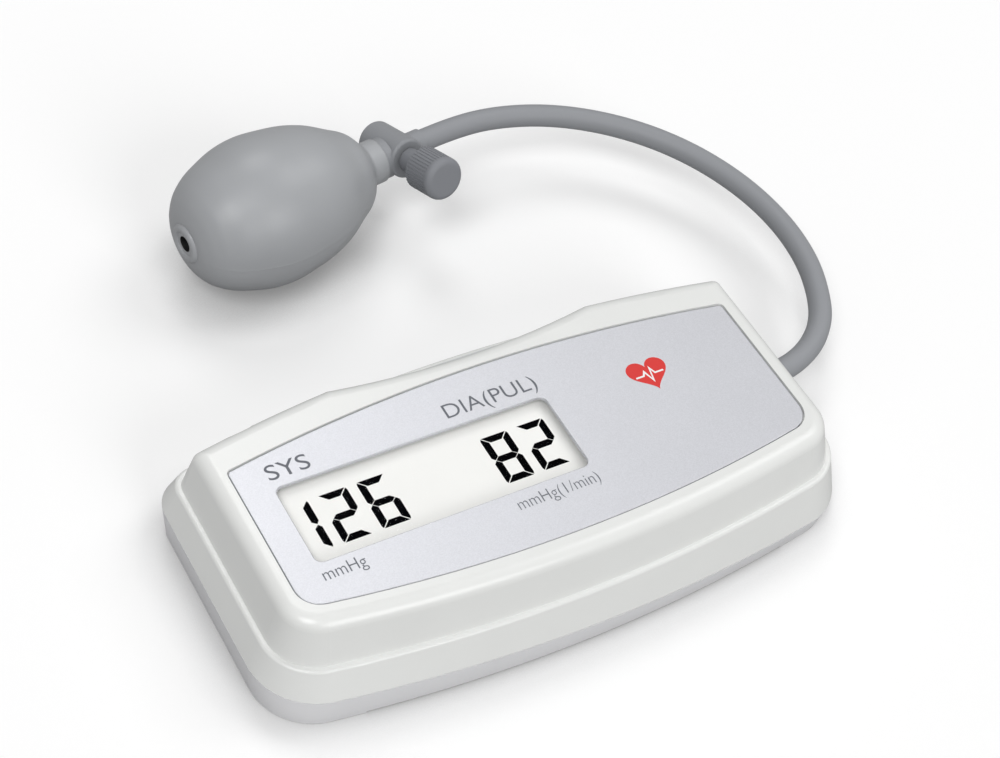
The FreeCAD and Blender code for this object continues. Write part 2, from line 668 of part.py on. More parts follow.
def make_upper_casing():
    """Skirt, ledge, band and rim, hollow inside, with bosses under the roof."""
    part = body("upper_casing")
    skirt_top = sketch(part, "skirt_top", height=ridge_height)
    bowed_outline(
        skirt_top, ridge_half_length, ridge_half_width, side_bow, ridge_corner_radius, ridge_back_radius)
    loft(part, skirt_top, parting_sketch(part, "skirt_foot", seam_gap))

    foot = sketch(part, "band_foot", height=ridge_height)
    foot_half_length = ridge_half_length - ledge_width
    foot_half_width = ridge_half_width - ledge_width
    bowed_outline(
        foot, foot_half_length, foot_half_width, side_bow, ridge_corner_radius - ledge_width,
        ridge_back_radius - ledge_width)
    pad(part, foot, casing_top - ridge_height, taper=band_taper)

    scoop = sketch(part, "finger_recess", height=casing_top)
    circle(scoop, 0, top_half_width + side_bow - scoop_depth + scoop_radius, scoop_radius)
    pocket(part, scoop, casing_top - ridge_height, taper=band_taper)

    fillet(part, lambda edge: level(edge, casing_top), rim_round)
    outer = [face for face in part.Tip.Shape.Faces if is_ledge(face)]
    rim_edges = [edge for face in outer for edge in face.OuterWire.Edges]
    fillet(part, lambda edge: any(edge.isSame(other) for other in rim_edges), ledge_round)

    lower_room = sketch(part, "skirt_room")
    bowed_outline(
        lower_room, inner_half_length, ridge_half_width - wall_thickness, side_bow,
        ridge_corner_radius - wall_thickness, ridge_back_radius - wall_thickness)
    pocket(part, lower_room, ridge_height - ledge_thickness, reverse=True)

    upper_room = sketch(part, "band_room", height=band_room_foot, shift_y=panel_shift)
    room_corner = panel_front_radius + wall_thickness + band_room_growth
    bowed_outline(
        upper_room, top_half_length - wall_thickness + band_room_growth,
        panel_half_width + wall_thickness + band_room_growth, panel_bow, room_corner, room_corner)
    pocket(part, upper_room, roof_under - band_room_foot, reverse=True, taper=band_taper)

    recess = sketch(part, "panel_recess", height=casing_top, shift_y=panel_shift)
    bowed_outline(
        recess, panel_half_length + panel_gap, panel_half_width + panel_gap, panel_bow,
        panel_front_radius + panel_gap, panel_back_radius + panel_gap)
    pocket(part, recess, casing_top - panel_under)

    opening = sketch(part, "lens_opening", height=casing_top)
    margin = lens_overlap + lens_clearance
    rounded_rectangle(
        opening, window_left - margin, window_right + margin, window_front - margin, window_back + margin,
        window_radius)
    pocket(part, opening, casing_top - roof_under + 1)

    bosses = sketch(part, "upper_bosses", height=boss_joint_height)
    for x, y in boss_places():
        circle(bosses, x, y, boss_diameter / 2)
    pad(part, bosses, roof_under - boss_joint_height + 0.5)
    pilots = sketch(part, "pilot_holes", height=boss_joint_height)
    for x, y in boss_places():
        circle(pilots, x, y, screw_radius + 0.05)
    pocket(part, pilots, screw_grip + 1.5, reverse=True)

    inlet_hole_sketch = sketch(part, "inlet_opening", "YZ_Plane", height=ridge_half_length + 20)
    circle(inlet_hole_sketch, inlet_y, air_height, bushing_radius + bushing_clearance)
    pocket(part, inlet_hole_sketch, 30)

    cuff_hole = sketch(part, "cuff_opening", "XZ_Plane", height=-inside_back_wall)
    circle(cuff_hole, cuff_x, air_height, bushing_radius + bushing_clearance)
    pocket(part, cuff_hole, 40)

    button_hole = sketch(part, "button_opening", "XZ_Plane", height=-inside_back_wall)
    gap = button_clearance
    rounded_rectangle(
        button_hole, -(button_half_width + gap), button_half_width + gap, button_low - gap, button_high + gap,
        button_round + gap)
    pocket(part, button_hole, 30)
    return part


def is_ledge(face):
    """Whether a face is the flat top of the ledge."""
    box = face.BoundBox
    flat = abs(box.ZMin - ridge_height.value) < 1e-3 and abs(box.ZMax - ridge_height.value) < 1e-3
    return flat and box.XLength > ridge_half_length.value


def boss_places():
    """Centres of the four screw bosses."""
    return [(boss_x * i, boss_y * j) for i in (-1, 1) for j in (-1, 1)]


def make_lower_casing():
    """Base shell with foot pads, battery bay, bosses and board posts."""
    part = body("lower_casing")
    base = sketch(part, "base_outline", height=base_round + 0.2)
    half_length = parting_half_length - base_inset
    half_width = parting_half_width - base_inset
    corner = parting_corner - base_inset
    back_corner = parting_back_corner - base_inset
    bowed_outline(base, half_length, half_width, side_bow, corner, back_corner)
    pad(part, base, base_round + 0.2, reverse=True)
    fillet(part, lambda edge: level(edge, as_size(0)), base_round)
    start = sketch(part, "wall_outline", height=base_round + 0.2)
    bowed_outline(start, half_length, half_width, side_bow, corner, back_corner)
    loft(part, start, parting_sketch(part, "parting_outline", 0))

    room = sketch(part, "base_room", height=ridge_height)
    bowed_outline(
        room, half_length - wall_thickness, half_width - wall_thickness, side_bow,
        corner - wall_thickness, back_corner - wall_thickness)
    pocket(part, room, ridge_height - floor_thickness)

    relief = sketch(part, "foot_relief_area")
    rectangle(relief, -foot_inner_x, foot_inner_x, -casing_reach, casing_reach)
    pocket(part, relief, foot_relief, reverse=True)

    bay = sketch(part, "bay_outside", height=door_top)
    outer_x = bay_half_width + bay_wall
    outer_y = bay_half_depth + bay_wall
    rectangle(bay, -outer_x, outer_x, bay_y - outer_y, bay_y + outer_y)
    pad(part, bay, bay_top - door_top)

    bosses = sketch(part, "lower_bosses", height=floor_thickness - 0.5)
    for x, y in boss_places():
        circle(bosses, x, y, boss_diameter / 2)
    pad(part, bosses, boss_joint_height - floor_thickness + 0.5)

    posts = sketch(part, "board_posts", height=bay_top - 0.5)
    for i in (-1, 1):
        for j in (-1, 1):
            circle(posts, board_post_x * i, board_post_y * j, board_post_diameter / 2)
    pad(part, posts, board_post_height + 0.5)

    stand = sketch(part, "manifold_stand", height=floor_thickness - 0.8)
    rectangle(
        stand, cuff_x - stand_half_x, cuff_x + stand_half_x, inlet_y - stand_half_y, inlet_y + stand_half_y)
    pad(part, stand, air_height - manifold_depth / 2 - floor_thickness + 0.8)

    inside = sketch(part, "bay_inside")
    rectangle(inside, -bay_half_width, bay_half_width, bay_y - bay_half_depth, bay_y + bay_half_depth)
    pocket(part, inside, bay_roof_height, reverse=True)

    seat = sketch(part, "door_seat")
    reach_x = bay_half_width + door_overlap + door_clearance
    reach_y = bay_half_depth + door_overlap + door_clearance
    rectangle(seat, -reach_x, reach_x, bay_y - reach_y, bay_y + reach_y)
    pocket(part, seat, door_top, reverse=True)
    pin_reach = bay_half_width + door_overlap + hinge_pin_length + hinge_fit
    pins = sketch(part, "hinge_holes", "YZ_Plane", height=pin_reach)
    circle(pins, hinge_y, hinge_height, hinge_pin + hinge_fit)
    pocket(part, pins, pin_reach * 2)

    heads = sketch(part, "screw_heads")
    for x, y in boss_places():
        circle(heads, x, y, screw_head_radius + screw_clearance)
    pocket(part, heads, floor_thickness, reverse=True)
    holes = sketch(part, "screw_holes")
    for x, y in boss_places():
        circle(holes, x, y, screw_radius + screw_clearance)
    pocket(part, holes, boss_joint_height + 1, reverse=True)
    return part


def make_battery_door():
    """Flat cover with a round hinge edge at the back, two hinge pins and a thumb groove at the front."""
    reach_x = bay_half_width + door_overlap
    front = bay_y - bay_half_depth - door_overlap
    plate = block("door_plate", -reach_x, reach_x, front, hinge_y, foot_relief, door_top)
    edge = rod("door_hinge_edge", door_thickness / 2, reach_x * 2, -reach_x, hinge_y, hinge_height, "x")
    pin_reach = reach_x + hinge_pin_length
    pins = rod("door_hinge_pins", hinge_pin, pin_reach * 2, -pin_reach, hinge_y, hinge_height, "x")
    groove_front = front + groove_inset
    groove = block(
        "door_groove", -groove_half_width, groove_half_width, groove_front, groove_front + groove_depth,
        foot_relief - 1, foot_relief + door_thickness / 2)
    node(less("door_solid", fused("door_outside", [plate, edge, pins]), [groove]), "battery_door")


# ---------------------------------------------------------------- panel and display
def make_front_panel():
    """Silver plate with the display window."""
    part = body("front_panel")
    plate = sketch(part, "panel_outline", height=panel_under, shift_y=panel_shift)
    bowed_outline(
        plate, panel_half_length, panel_half_width, panel_bow, panel_front_radius, panel_back_radius)
    pad(part, plate, panel_thickness)
    window = sketch(part, "window", height=panel_top)
    rounded_rectangle(window, window_left, window_right, window_front, window_back, window_radius)
    pocket(part, window, panel_thickness + 1)
    fillet(part, lambda edge: level(edge, panel_top), panel_edge_round)


def window_box(margin):
    """The window grown by a margin: left, right, front, back."""
    return window_left - margin, window_right + margin, window_front - margin, window_back + margin


def make_display():
    """Clear lens, display glass, its frame and the contact strip."""
    lens = body("display_lens")
    outline = sketch(lens, "lens_outline", height=panel_under - lens_thickness)
    rounded_rectangle(outline, *window_box(lens_overlap), window_radius)
    pad(lens, outline, lens_thickness)

    left, right, front, back = window_box(display_overlap)
    node(block("display_block", left, right, front, back, display_under, display_top), "display_glass")

    frame = body("display_frame")
    rim = sketch(frame, "frame_outline", height=board_top)
    rectangle(rim, left - frame_wall, right + frame_wall, front - frame_wall, back + frame_wall)
    pad(frame, rim, display_top - board_top)
    seat = sketch(frame, "glass_seat", height=display_top)
    gap = frame_clearance
    rectangle(seat, left - gap, right + gap, front - gap, back + gap)
    pocket(frame, seat, display_thickness)
    middle = sketch(frame, "frame_middle", height=display_top)
    rectangle(middle, left + frame_lip, right - frame_lip, front + frame_lip, back - frame_back_lip)
    pocket(frame, middle, display_top - board_top + 1)
    slot = sketch(frame, "strip_slot", height=display_top)
    strip_y = back - strip_inset
    rectangle(slot, left + frame_lip, right - frame_lip, strip_y - gap, strip_y + strip_width + gap)
    pocket(frame, slot, display_top - board_top + 1)

    strip = block(
        "strip_block", left + frame_lip + gap, right - frame_lip - gap, strip_y, strip_y + strip_width, board_top,
        display_under)
    node(strip, "contact_strip")


def make_board():
    """Circuit board with its pressure sensor and push switch."""
    board = block("board_block", board_left, board_right, board_front, board_back, board_under, board_top)
    node(board, "circuit_board")
    right = board_right - sensor_inset
    centre = board_top + sensor_depth / 2
    case = block(
        "sensor_case", right - sensor_width, right, inlet_y - sensor_width / 2, inlet_y + sensor_width / 2,
        board_top, board_top + sensor_depth)
    nipple = rod("sensor_nipple_rod", thin_nipple, sensor_nipple, right, inlet_y, centre, "x")
    node(fused("sensor_solid", [case, nipple]), "pressure_sensor")
    half = switch_width / 2
    back = board_back - switch_inset
    box = block("switch_case", -half, half, back - switch_depth, back, board_top, board_top + switch_height)
    plunger = rod("switch_plunger", plunger_radius, plunger_length, 0, back, button_middle(), "y")
    node(fused("switch_solid", [box, plunger]), "push_switch")


def button_middle():
    """Height of the button's centre."""
    return (button_low + button_high) / 2


def recess_wall_y(height):
    """Where the recess wall lies at a height, in the middle of the recess."""
    lean = math.tan(math.radians(-band_taper.value))
    return top_half_width + side_bow - scoop_depth + (casing_top - height) * lean


def make_start_button():
    """Cap that follows the recess wall, with a flange and a rib behind it."""
    part = body("start_button")
    wall_y = panel_shift + panel_half_width + wall_thickness + panel_bow
    flange_back = wall_y - 0.3
    cap = sketch(part, "button_section", "YZ_Plane")
    low_y = recess_wall_y(button_low) + button_proud
    high_y = recess_wall_y(button_high) + button_proud
    inner = flange_back - 0.4
    polygon(cap, [(inner, button_low), (low_y, button_low), (high_y, button_high), (inner, button_high)])
    pad(part, cap, button_half_width * 2, both=True)
    doc.recompute()
    edges = [edge for edge in part.Tip.Shape.Edges if edge.BoundBox.YMax > inner.value + 1]
    fillet(part, lambda edge: any(edge.isSame(other) for other in edges), button_round)
    flange = sketch(part, "button_flange_outline", "XZ_Plane", height=-flange_back)
    reach = button_half_width + button_flange
    rectangle(flange, -reach, reach, button_low - button_flange_low, button_high + button_flange_high)
    pad(part, flange, button_flange_thickness)
    rib = sketch(part, "button_rib", "XZ_Plane", height=-(flange_back - button_flange_thickness))
    half = button_rib_half_height
    side = button_rib_half_width
    rectangle(rib, -side, side, button_middle() - half, button_middle() + half)
    plunger_end = board_back - switch_inset + plunger_length
    pad(part, rib, flange_back - button_flange_thickness - plunger_end - button_travel_gap)


# ---------------------------------------------------------------- batteries
def cell_places():
    """Centre of each cell and whether its cap points to the back."""
    return [(cell_pitch * offset, index % 2 == 0) for index, offset in enumerate((-1.5, -0.5, 0.5, 1.5))]


def make_cells():
    """Four cells side by side, turned alternately."""
    plate_y = bay_half_depth - contact_thickness
    for index, (x, to_back) in enumerate(cell_places()):
        if to_back:
            start = bay_y + plate_y - cap_length - cell_length
            cap_start = bay_y + plate_y - cap_length
        else:
            start = bay_y - plate_y + cap_length
            cap_start = bay_y - plate_y
        can = rod(f"can_{index}", cell_radius, cell_length, x, start, cell_height, "y")
        cap = rod(f"cap_{index}", cap_radius, cap_length, x, cap_start, cell_height, "y")
        node(fused(f"cell_{index}", [can, cap]), f"battery_cell_{index + 1}")


def make_contacts():
    """Contact plates at both ends of the bay and a leaf spring for each cell's flat end."""
    half = contact_width / 2
    xs = [x for x, _ in cell_places()]
    groups = (("back", (0, 1)), ("back", (2, 3)), ("front", (0, 0)), ("front", (1, 2)), ("front", (3, 3)))
    for index, (side, (first, last)) in enumerate(groups):
        y1 = bay_y + bay_half_depth if side == "back" else bay_y - bay_half_depth + contact_thickness
        plate = block(
            f"plate_{index}", xs[first] - half, xs[last] + half, y1 - contact_thickness, y1,
            cell_height - half, cell_height + half)
        node(plate, f"contact_plate_{index + 1}")
    plate_y = bay_half_depth - contact_thickness
    room = 2 * plate_y - cap_length - cell_length - 0.02
    for index, (x, to_back) in enumerate(cell_places()):
        part = body(f"contact_spring_{index + 1}")
        side = -1 if to_back else 1
        foot = bay_y + plate_y * side
        peak = foot - room * side
        inner_peak = peak + leaf_thickness * 1.4 * side
        leaf = sketch(part, f"leaf_{index + 1}", "YZ_Plane", height=x)
        low = cell_height - leaf_reach
        high = cell_height + leaf_reach
        inner_low = low + leaf_thickness * 1.4
        inner_high = high - leaf_thickness * 1.4
        polygon(leaf, [(foot, low), (peak, cell_height), (foot, high), (foot, inner_high),
                       (inner_peak, cell_height), (foot, inner_low)])
        pad(part, leaf, leaf_width, both=True)


# ---------------------------------------------------------------- air path in the casing
def make_inlet():
    """Bushing in the right end wall: flange inside, hose end outside."""
    wall = inlet_wall_x - 0.1
    body_start = wall - 0.2
    body_length = inlet_end_x - body_start
    outside = rod("inlet_body", bushing_radius, body_length, body_start, inlet_y, air_height, "x")
    flange = block(
        "inlet_flange", wall - flange_thickness, wall,
        inlet_y - flange_half_width, inlet_y + flange_half_width,
        air_height - flange_below, air_height + flange_above)
    nipple_start = wall - flange_thickness - nipple_length
    nipple = rod("inlet_nipple", nipple_radius, nipple_length + 0.2, nipple_start, inlet_y, air_height, "x")
    bore = rod("inlet_bore", air_bore, 30, nipple_start - 1, inlet_y, air_height, "x")
    node(less("inlet_solid", fused("inlet_outside", [outside, flange, nipple]), [bore]), "hose_inlet")


def make_cuff_socket():
    """Socket for the cuff's plug, in the back wall."""
    body_length = cuff_end_y - cuff_body_y
    outside = rod("socket_body", bushing_radius, body_length, cuff_x, cuff_body_y, air_height, "y")
    flange_start = cuff_flange_y - flange_thickness
    flange = block(
        "socket_flange", cuff_x - flange_half_width, cuff_x + flange_half_width, flange_start, cuff_flange_y,
        air_height - flange_below, air_height + flange_above)
    nipple_start = cuff_body_y - nipple_length
    nipple = rod("socket_nipple", nipple_radius, nipple_length + 0.2, cuff_x, nipple_start, air_height, "y")
    mouth_start = cuff_end_y - cuff_bore_length
    mouth = rod("socket_mouth", cuff_bore, cuff_bore_length + 1, cuff_x, mouth_start, air_height, "y")
    bore = rod("socket_bore", air_bore, 30, cuff_x, nipple_start - 1, air_height, "y")
    outer = fused("socket_outside", [outside, flange, nipple])
    node(less("socket_solid", outer, [mouth, bore]), "cuff_socket")


def make_manifold():
    """Block that joins the hose inlet, cuff socket, sensor and slow-release valve."""
    half = manifold_depth / 2
    top = air_height + half
    block_part = block("manifold_block", manifold_left, manifold_right, inlet_y - half, inlet_y + half,
                       air_height - half, top)
    to_inlet = rod("manifold_x", nipple_radius, manifold_nipple, manifold_right, inlet_y, air_height, "x")
    to_cuff = rod("manifold_y", nipple_radius, manifold_nipple, cuff_x, inlet_y + half, air_height, "y")
    to_sensor = rod("manifold_z", thin_nipple, thin_nipple_length, sensor_tube_x(), inlet_y, top, "z")
    bore_x = rod("manifold_bore_x", air_bore, 40, manifold_left - 1, inlet_y, air_height, "x")
    bore_y = rod("manifold_bore_y", air_bore, 20, cuff_x, inlet_y, air_height, "y")
    bore_z = rod("manifold_bore_z", thin_bore, 20, sensor_tube_x(), inlet_y, air_height, "z")
    outer = fused("manifold_outside", [block_part, to_inlet, to_cuff, to_sensor])
    node(less("manifold_solid", outer, [bore_x, bore_y, bore_z]), "air_manifold")
    bleed_start = manifold_left - bleed_length
    bleed = rod("bleed_body", bleed_radius, bleed_length, bleed_start, inlet_y, air_height, "x")
    slot = block(
        "bleed_slot", bleed_start - 1, bleed_start + bleed_slot_depth,
        inlet_y - bleed_slot_half, inlet_y + bleed_slot_half,
        air_height - bleed_radius - 1, air_height + bleed_radius + 1)
    node(less("bleed_solid", bleed, [slot]), "slow_release_valve")


def sensor_tube_x():
    """Where the sensor tube leaves the manifold."""
    return manifold_left + thin_nipple_inset


def make_tubes():
    """Short rubber tubes between the nipples."""
    outer = nipple_radius + tube_wall
    inner = nipple_radius + tube_fit
    start = manifold_right + 0.2
    length = inlet_wall_x - 0.1 - flange_thickness - 0.2 - start
    tube = rod("inlet_tube_outside", outer, length, start, inlet_y, air_height, "x")
    hole = rod("inlet_tube_inside", inner, length + 2, start - 1, inlet_y, air_height, "x")
    node(less("inlet_tube_solid", tube, [hole]), "inlet_tube")
    start = inlet_y + manifold_depth / 2 + 0.2
    length = cuff_body_y - 0.2 - start
    tube = rod("cuff_tube_outside", outer, length, cuff_x, start, air_height, "y")
    hole = rod("cuff_tube_inside", inner, length + 2, cuff_x, start - 1, air_height, "y")
    node(less("cuff_tube_solid", tube, [hole]), "cuff_tube")

    x = sensor_tube_x().value
    y = inlet_y.value
    low = (air_height + manifold_depth / 2).value + 0.2
    high = (board_top + sensor_depth / 2).value
    end = (board_right - sensor_inset).value + 0.3
    path = bent_path([Vector(x, y, low), Vector(x, y, high), Vector(end, y, high)], [sensor_bend.value])
    shape = pipe(path, thin_nipple.value + 0.8).cut(pipe(path, (thin_nipple + tube_fit).value))
    feature("sensor_tube", shape)


def make_screws():
    """Four screws from below, through the lower bosses into the upper ones."""
    for index, (x, y) in enumerate(boss_places()):
        head_low = floor_thickness - screw_head_height
        head = rod(f"screw_head_{index}", screw_head_radius, screw_head_height, x, y, head_low)
        shank_length = boss_joint_height + screw_grip - floor_thickness
        shank = rod(f"screw_shank_{index}", screw_radius, shank_length, x, y, floor_thickness)
        drive = rod(f"screw_drive_{index}", 1.0, 1.2, x, y, head_low - 0.2)
        solid = fused(f"screw_body_{index}", [head, shank])
        node(less(f"screw_{index}", solid, [drive]), f"casing_screw_{index + 1}")


# ---------------------------------------------------------------- bulb and valve
def bulb_place(along=0, tilted=False):
    """Placement on the bulb's axis, some way from its inlet end."""
    turn = Rotation(Vector(0, 0, 1), bulb_turn.value)
    start = Vector(bulb_x.value, bulb_y.value, (bulb_radius + bulb_rest).value)
    spot = start + turn.multVec(Vector(along, 0, 0))
    if tilted:
        turn = turn * Rotation(Vector(1, 0, 0), -valve_tilt.value)
    return Placement(spot, turn)


def spun(points, closed_by=()):
    """A solid of revolution about X from a smooth profile and straight closing points."""
    curve = Part.BSplineCurve()
    curve.interpolate([Vector(x, r, 0) for x, r in points])
    edges = [curve.toShape()]
    stops = [points[-1]] + list(closed_by) + [points[0]]
    for (x0, r0), (x1, r1) in zip(stops, stops[1:]):
        edges.append(Part.makeLine(Vector(x0, r0, 0), Vector(x1, r1, 0)))
    face = Part.Face(Part.Wire(edges))
    return face.revolve(Vector(0, 0, 0), Vector(1, 0, 0), 360)


def bulb_profile(inset):
    """The bulb's outline from its inlet end to its neck, drawn in by the wall."""
    r = bulb_radius.value
    reach = bulb_length.value
    shape = ((0.0, 0.29), (0.011, 0.42), (0.045, 0.60), (0.101, 0.75), (0.194, 0.885), (0.344, 1.0),
             (0.502, 0.975), (0.666, 0.86), (0.793, 0.66), (0.857, 0.545), (0.893, 0.425))
    points = [(part * reach, share * r) for part, share in shape]
    points.append((neck_start.value, neck_radius.value))
    return [(x, radius - inset) for x, radius in points]


def make_bulb():
    """Hollow rubber bulb, open at the inlet end and at the neck."""
    profile = bulb_profile(0)
    end = bulb_length.value
    outside = spun(profile, ((end, neck_radius.value), (end, 0), (0, 0)))
    wall = bulb_wall.value
    middle = [(x, radius) for x, radius in bulb_profile(wall) if wall * 1.5 < x < neck_start.value - 1]
    first = (wall * 1.2, middle[0][1] * 0.74)
    last = (end * 0.94, spigot_radius.value + spigot_fit.value)
    inside = spun([first] + middle + [last], ((last[0], 0), (first[0], 0)))
    axis = Vector(1, 0, 0)
    mouth = Part.makeCylinder((inlet_radius + spigot_fit).value, 10, Vector(-1, 0, 0), axis)
    throat = Part.makeCylinder((spigot_radius + spigot_fit).value, 20, Vector(end - 14, 0, 0), axis)
    feature("bulb", outside.cut(inside.fuse([mouth, throat])), bulb_place())


def make_inlet_valve():
    """Plug in the bulb's far end with a ball that lets air in and not out."""
    major = (inlet_rim - inlet_rim_round).value
    rim = Part.makeTorus(major, inlet_rim_round.value, Vector(inlet_rim_sunk.value, 0, 0), Vector(1, 0, 0))
    face = inlet_face.value
    disc = Part.makeCylinder(major, 2 * face, Vector(-face, 0, 0), Vector(1, 0, 0))
    back = Part.makeCylinder(30, 30, Vector(0, 0, 0), Vector(1, 0, 0))
    plug = Part.makeCylinder(inlet_radius.value, inlet_depth.value, Vector(0, 0, 0), Vector(1, 0, 0))
    seat = ball_seat_x.value
    mouth_end = seat - inlet_seat_thickness.value
    mouth = Part.makeCylinder(inlet_hole.value, mouth_end + 5, Vector(-5, 0, 0), Vector(1, 0, 0))
    hole = Part.makeCylinder(inlet_seat.value, 30, Vector(-5, 0, 0), Vector(1, 0, 0))
    cage_length = 2 * ball_radius.value + ball_lift.value + 0.1
    cage = Part.makeCylinder(ball_room.value, cage_length, Vector(seat, 0, 0), Vector(1, 0, 0))
    shape = rim.fuse(disc).cut(back).fuse(plug).cut(mouth.fuse([hole, cage]))
    feature("inlet_valve_body", shape.removeSplitter(), bulb_place())
    centre = seat + ball_radius.value + 0.02
    feature("inlet_valve_ball", Part.makeSphere(ball_radius.value), bulb_place(centre))


def valve_rod(radius, start, end, along):
    """A bar in the valve's own frame, along the bulb's axis or towards the knob."""
    axis = Vector(1, 0, 0) if along == "x" else Vector(0, -1, 0)
    return Part.makeCylinder(float(radius), end - start, axis * start, axis)


def make_valve_body():
    """T-shaped body: spigot in the bulb's neck, hose outlet, and the bore for the release stem."""
    place_here = bulb_place(valve_x.value, True)
    barrel = valve_rod(valve_radius.value, -valve_far.value, valve_near.value, "y")
    ends = [edge for edge in barrel.Edges if edge.Curve.TypeId == "Part::GeomCircle"]
    barrel = barrel.makeFillet(valve_round.value, ends)
    spigot = valve_rod(spigot_radius.value, -spigot_length.value, 0, "x")
    collar_start = bulb_length.value - valve_x.value
    collar_end = collar_start + collar_thickness.value
    collar = valve_rod((neck_radius - collar_step).value, collar_start, collar_end, "x")
    outlet = valve_rod((hose_radius + outlet_wall).value, 0, outlet_length.value, "x")
    shape = barrel.fuse([spigot, collar, outlet])
    bore = valve_rod(valve_bore.value, -spigot_length.value - 1, outlet_length.value + 1, "x")
    stem_bore = valve_rod((stem_radius + stem_fit).value, -stem_depth.value - 0.3, 20, "y")
    seat = valve_rod((needle_radius + needle_fit).value, -needle_length.value - stem_depth.value - 1, 0, "y")
    vent = valve_rod(vent_radius.value, -valve_far.value - 1, 0, "y")
    groove_low = (ring_position - ring_wire - 0.1).value
    groove_high = (ring_position + ring_wire + 0.1).value
    groove = valve_rod((stem_radius + ring_wire * 2).value + 0.05, groove_low, groove_high, "y")
    chamber_end = -spigot_length.value + 1 + disc_thickness.value + 1.2
    chamber = valve_rod(disc_room.value, -spigot_length.value + 1, chamber_end, "x")
    shape = shape.cut(bore.fuse([stem_bore, seat, vent, groove, chamber]))
    feature("valve_body", shape, place_here)
    disc_start = -spigot_length.value + 1.02
    disc = valve_rod(disc_radius.value, disc_start, disc_start + disc_thickness.value, "x")
    feature("check_valve_disc", disc, place_here)


def make_knob():
    """Fluted release knob on its stem, with the needle at the stem's end and the O-ring round it."""
    place_here = bulb_place(valve_x.value, True)
    start = -stem_depth.value
    grip = valve_rod(knob_radius.value, knob_start.value, knob_end.value, "y")
    far = [edge for edge in grip.Edges if edge.BoundBox.YMax < -knob_end.value + 0.01]
    grip = grip.makeFillet(knob_round.value, far)
    stem = valve_rod(stem_radius.value, start, knob_start.value + 1, "y")
    ring = valve_rod((stem_radius + knob_collar).value, valve_near.value + 0.5, knob_start.value + 0.5, "y")
    shape = grip.fuse([stem, ring])
    count = int(round(knob_flutes.value))
    cutters = []
    for index in range(count):
        angle = 2 * math.pi * index / count
        across = knob_radius.value * math.cos(angle)
        up = knob_radius.value * math.sin(angle)
        spot = Vector(across, 1 - knob_start.value, up)
        length = knob_end.value - knob_start.value - knob_round.value + 0.6
        cutters.append(Part.makeCylinder(flute_radius.value, length, spot, Vector(0, -1, 0)))
    feature("release_knob", shape.cut(cutters).removeSplitter(), place_here)

    tip = start - needle_length.value
    cone = Part.makeCone(0.5, needle_radius.value, needle_length.value, Vector(0, -tip, 0), Vector(0, -1, 0))
    feature("release_needle", cone, place_here)
    minor = ring_wire.value
    major = stem_radius.value + minor + 0.02
    spot = Vector(0, -ring_position.value, 0)
    feature("stem_ring", Part.makeTorus(major, minor, spot, Vector(0, 1, 0)), place_here)


# ---------------------------------------------------------------- hose
def pipe(path, radius):
    """A round bar along a path."""
    edge = path.Edges[0]
    start = edge.valueAt(edge.FirstParameter)
    ring = Part.Wire([Part.makeCircle(radius, start, edge.tangentAt(edge.FirstParameter))])
    return path.makePipeShell([ring], True, False)


def bent_path(points, radii):
    """Straight runs through the points, joined by tangent arcs of the given radii."""
    edges = []
    last = points[0]
    for before, corner, after, radius in zip(points, points[1:], points[2:], radii):
        back = (before - corner).normalize()
        on = (after - corner).normalize()
        half = math.radians(180) - back.getAngle(on)
        cut = radius * math.tan(half / 2)
        start = corner + back * cut
        end = corner + on * cut
        inward = (back + on).normalize()
        middle = corner + inward * (radius / math.cos(half / 2) - radius)
        edges.append(Part.LineSegment(last, start).toShape())
        edges.append(Part.Arc(start, middle, end).toShape())
        last = end
    edges.append(Part.LineSegment(last, points[-1]).toShape())
    return Part.Wire(edges)


def hose_points():
    """The hose's route from the valve's outlet to the casing's inlet, chosen by hand between its ends."""
    out = bulb_place((valve_x + outlet_length).value)
    start = out.Base
    ahead = start + out.Rotation.multVec(Vector(hose_outlet_run.value, 0, 0))
    end = Vector(inlet_end_x.value, inlet_y.value, air_height.value)
    return [
        start,
        ahead,
        Vector(57.0, 117.6, 20.6),
        Vector(73.0, 113.9, 19.6),
        Vector(87.6, 106.2, 18.6),
        Vector(99.8, 95.4, 17.8),
        Vector(109.0, 82.2, 17.2),
        Vector(115.2, 66.8, 16.7),
        Vector(117.7, 50.6, 16.3),
        Vector(116.4, 35.6, 15.9),
        Vector(112.4, 23.8, 15.4),
        Vector(107.5, 15.0, 14.75),
        Vector(99.8, 8.5, 13.9),
        end + Vector(hose_inlet_run.value, 0, 0),
        end,
    ]


def make_hose():
    """Round rubber hose from the valve to the casing."""
    points = hose_points()
    radii = []
    for before, corner, after in zip(points, points[1:], points[2:]):
        back = before - corner
        on = after - corner
        turn = math.radians(180) - back.getAngle(on)
        room_on = 0.9 if after is points[-1] else 0.45
        room = min(0.45 * back.Length, room_on * on.Length)
        radii.append(room / math.tan(turn / 2))
    print("hose bend radii:", [round(radius, 1) for radius in radii])
    path = bent_path(points, radii)
    shape = pipe(path, hose_radius.value)
    expected = math.pi * hose_radius.value ** 2 * path.Length
    print("hose length:", round(path.Length, 1))
    print("volume over section x length:", round(shape.Volume / expected, 4))
    feature("hose", shape)


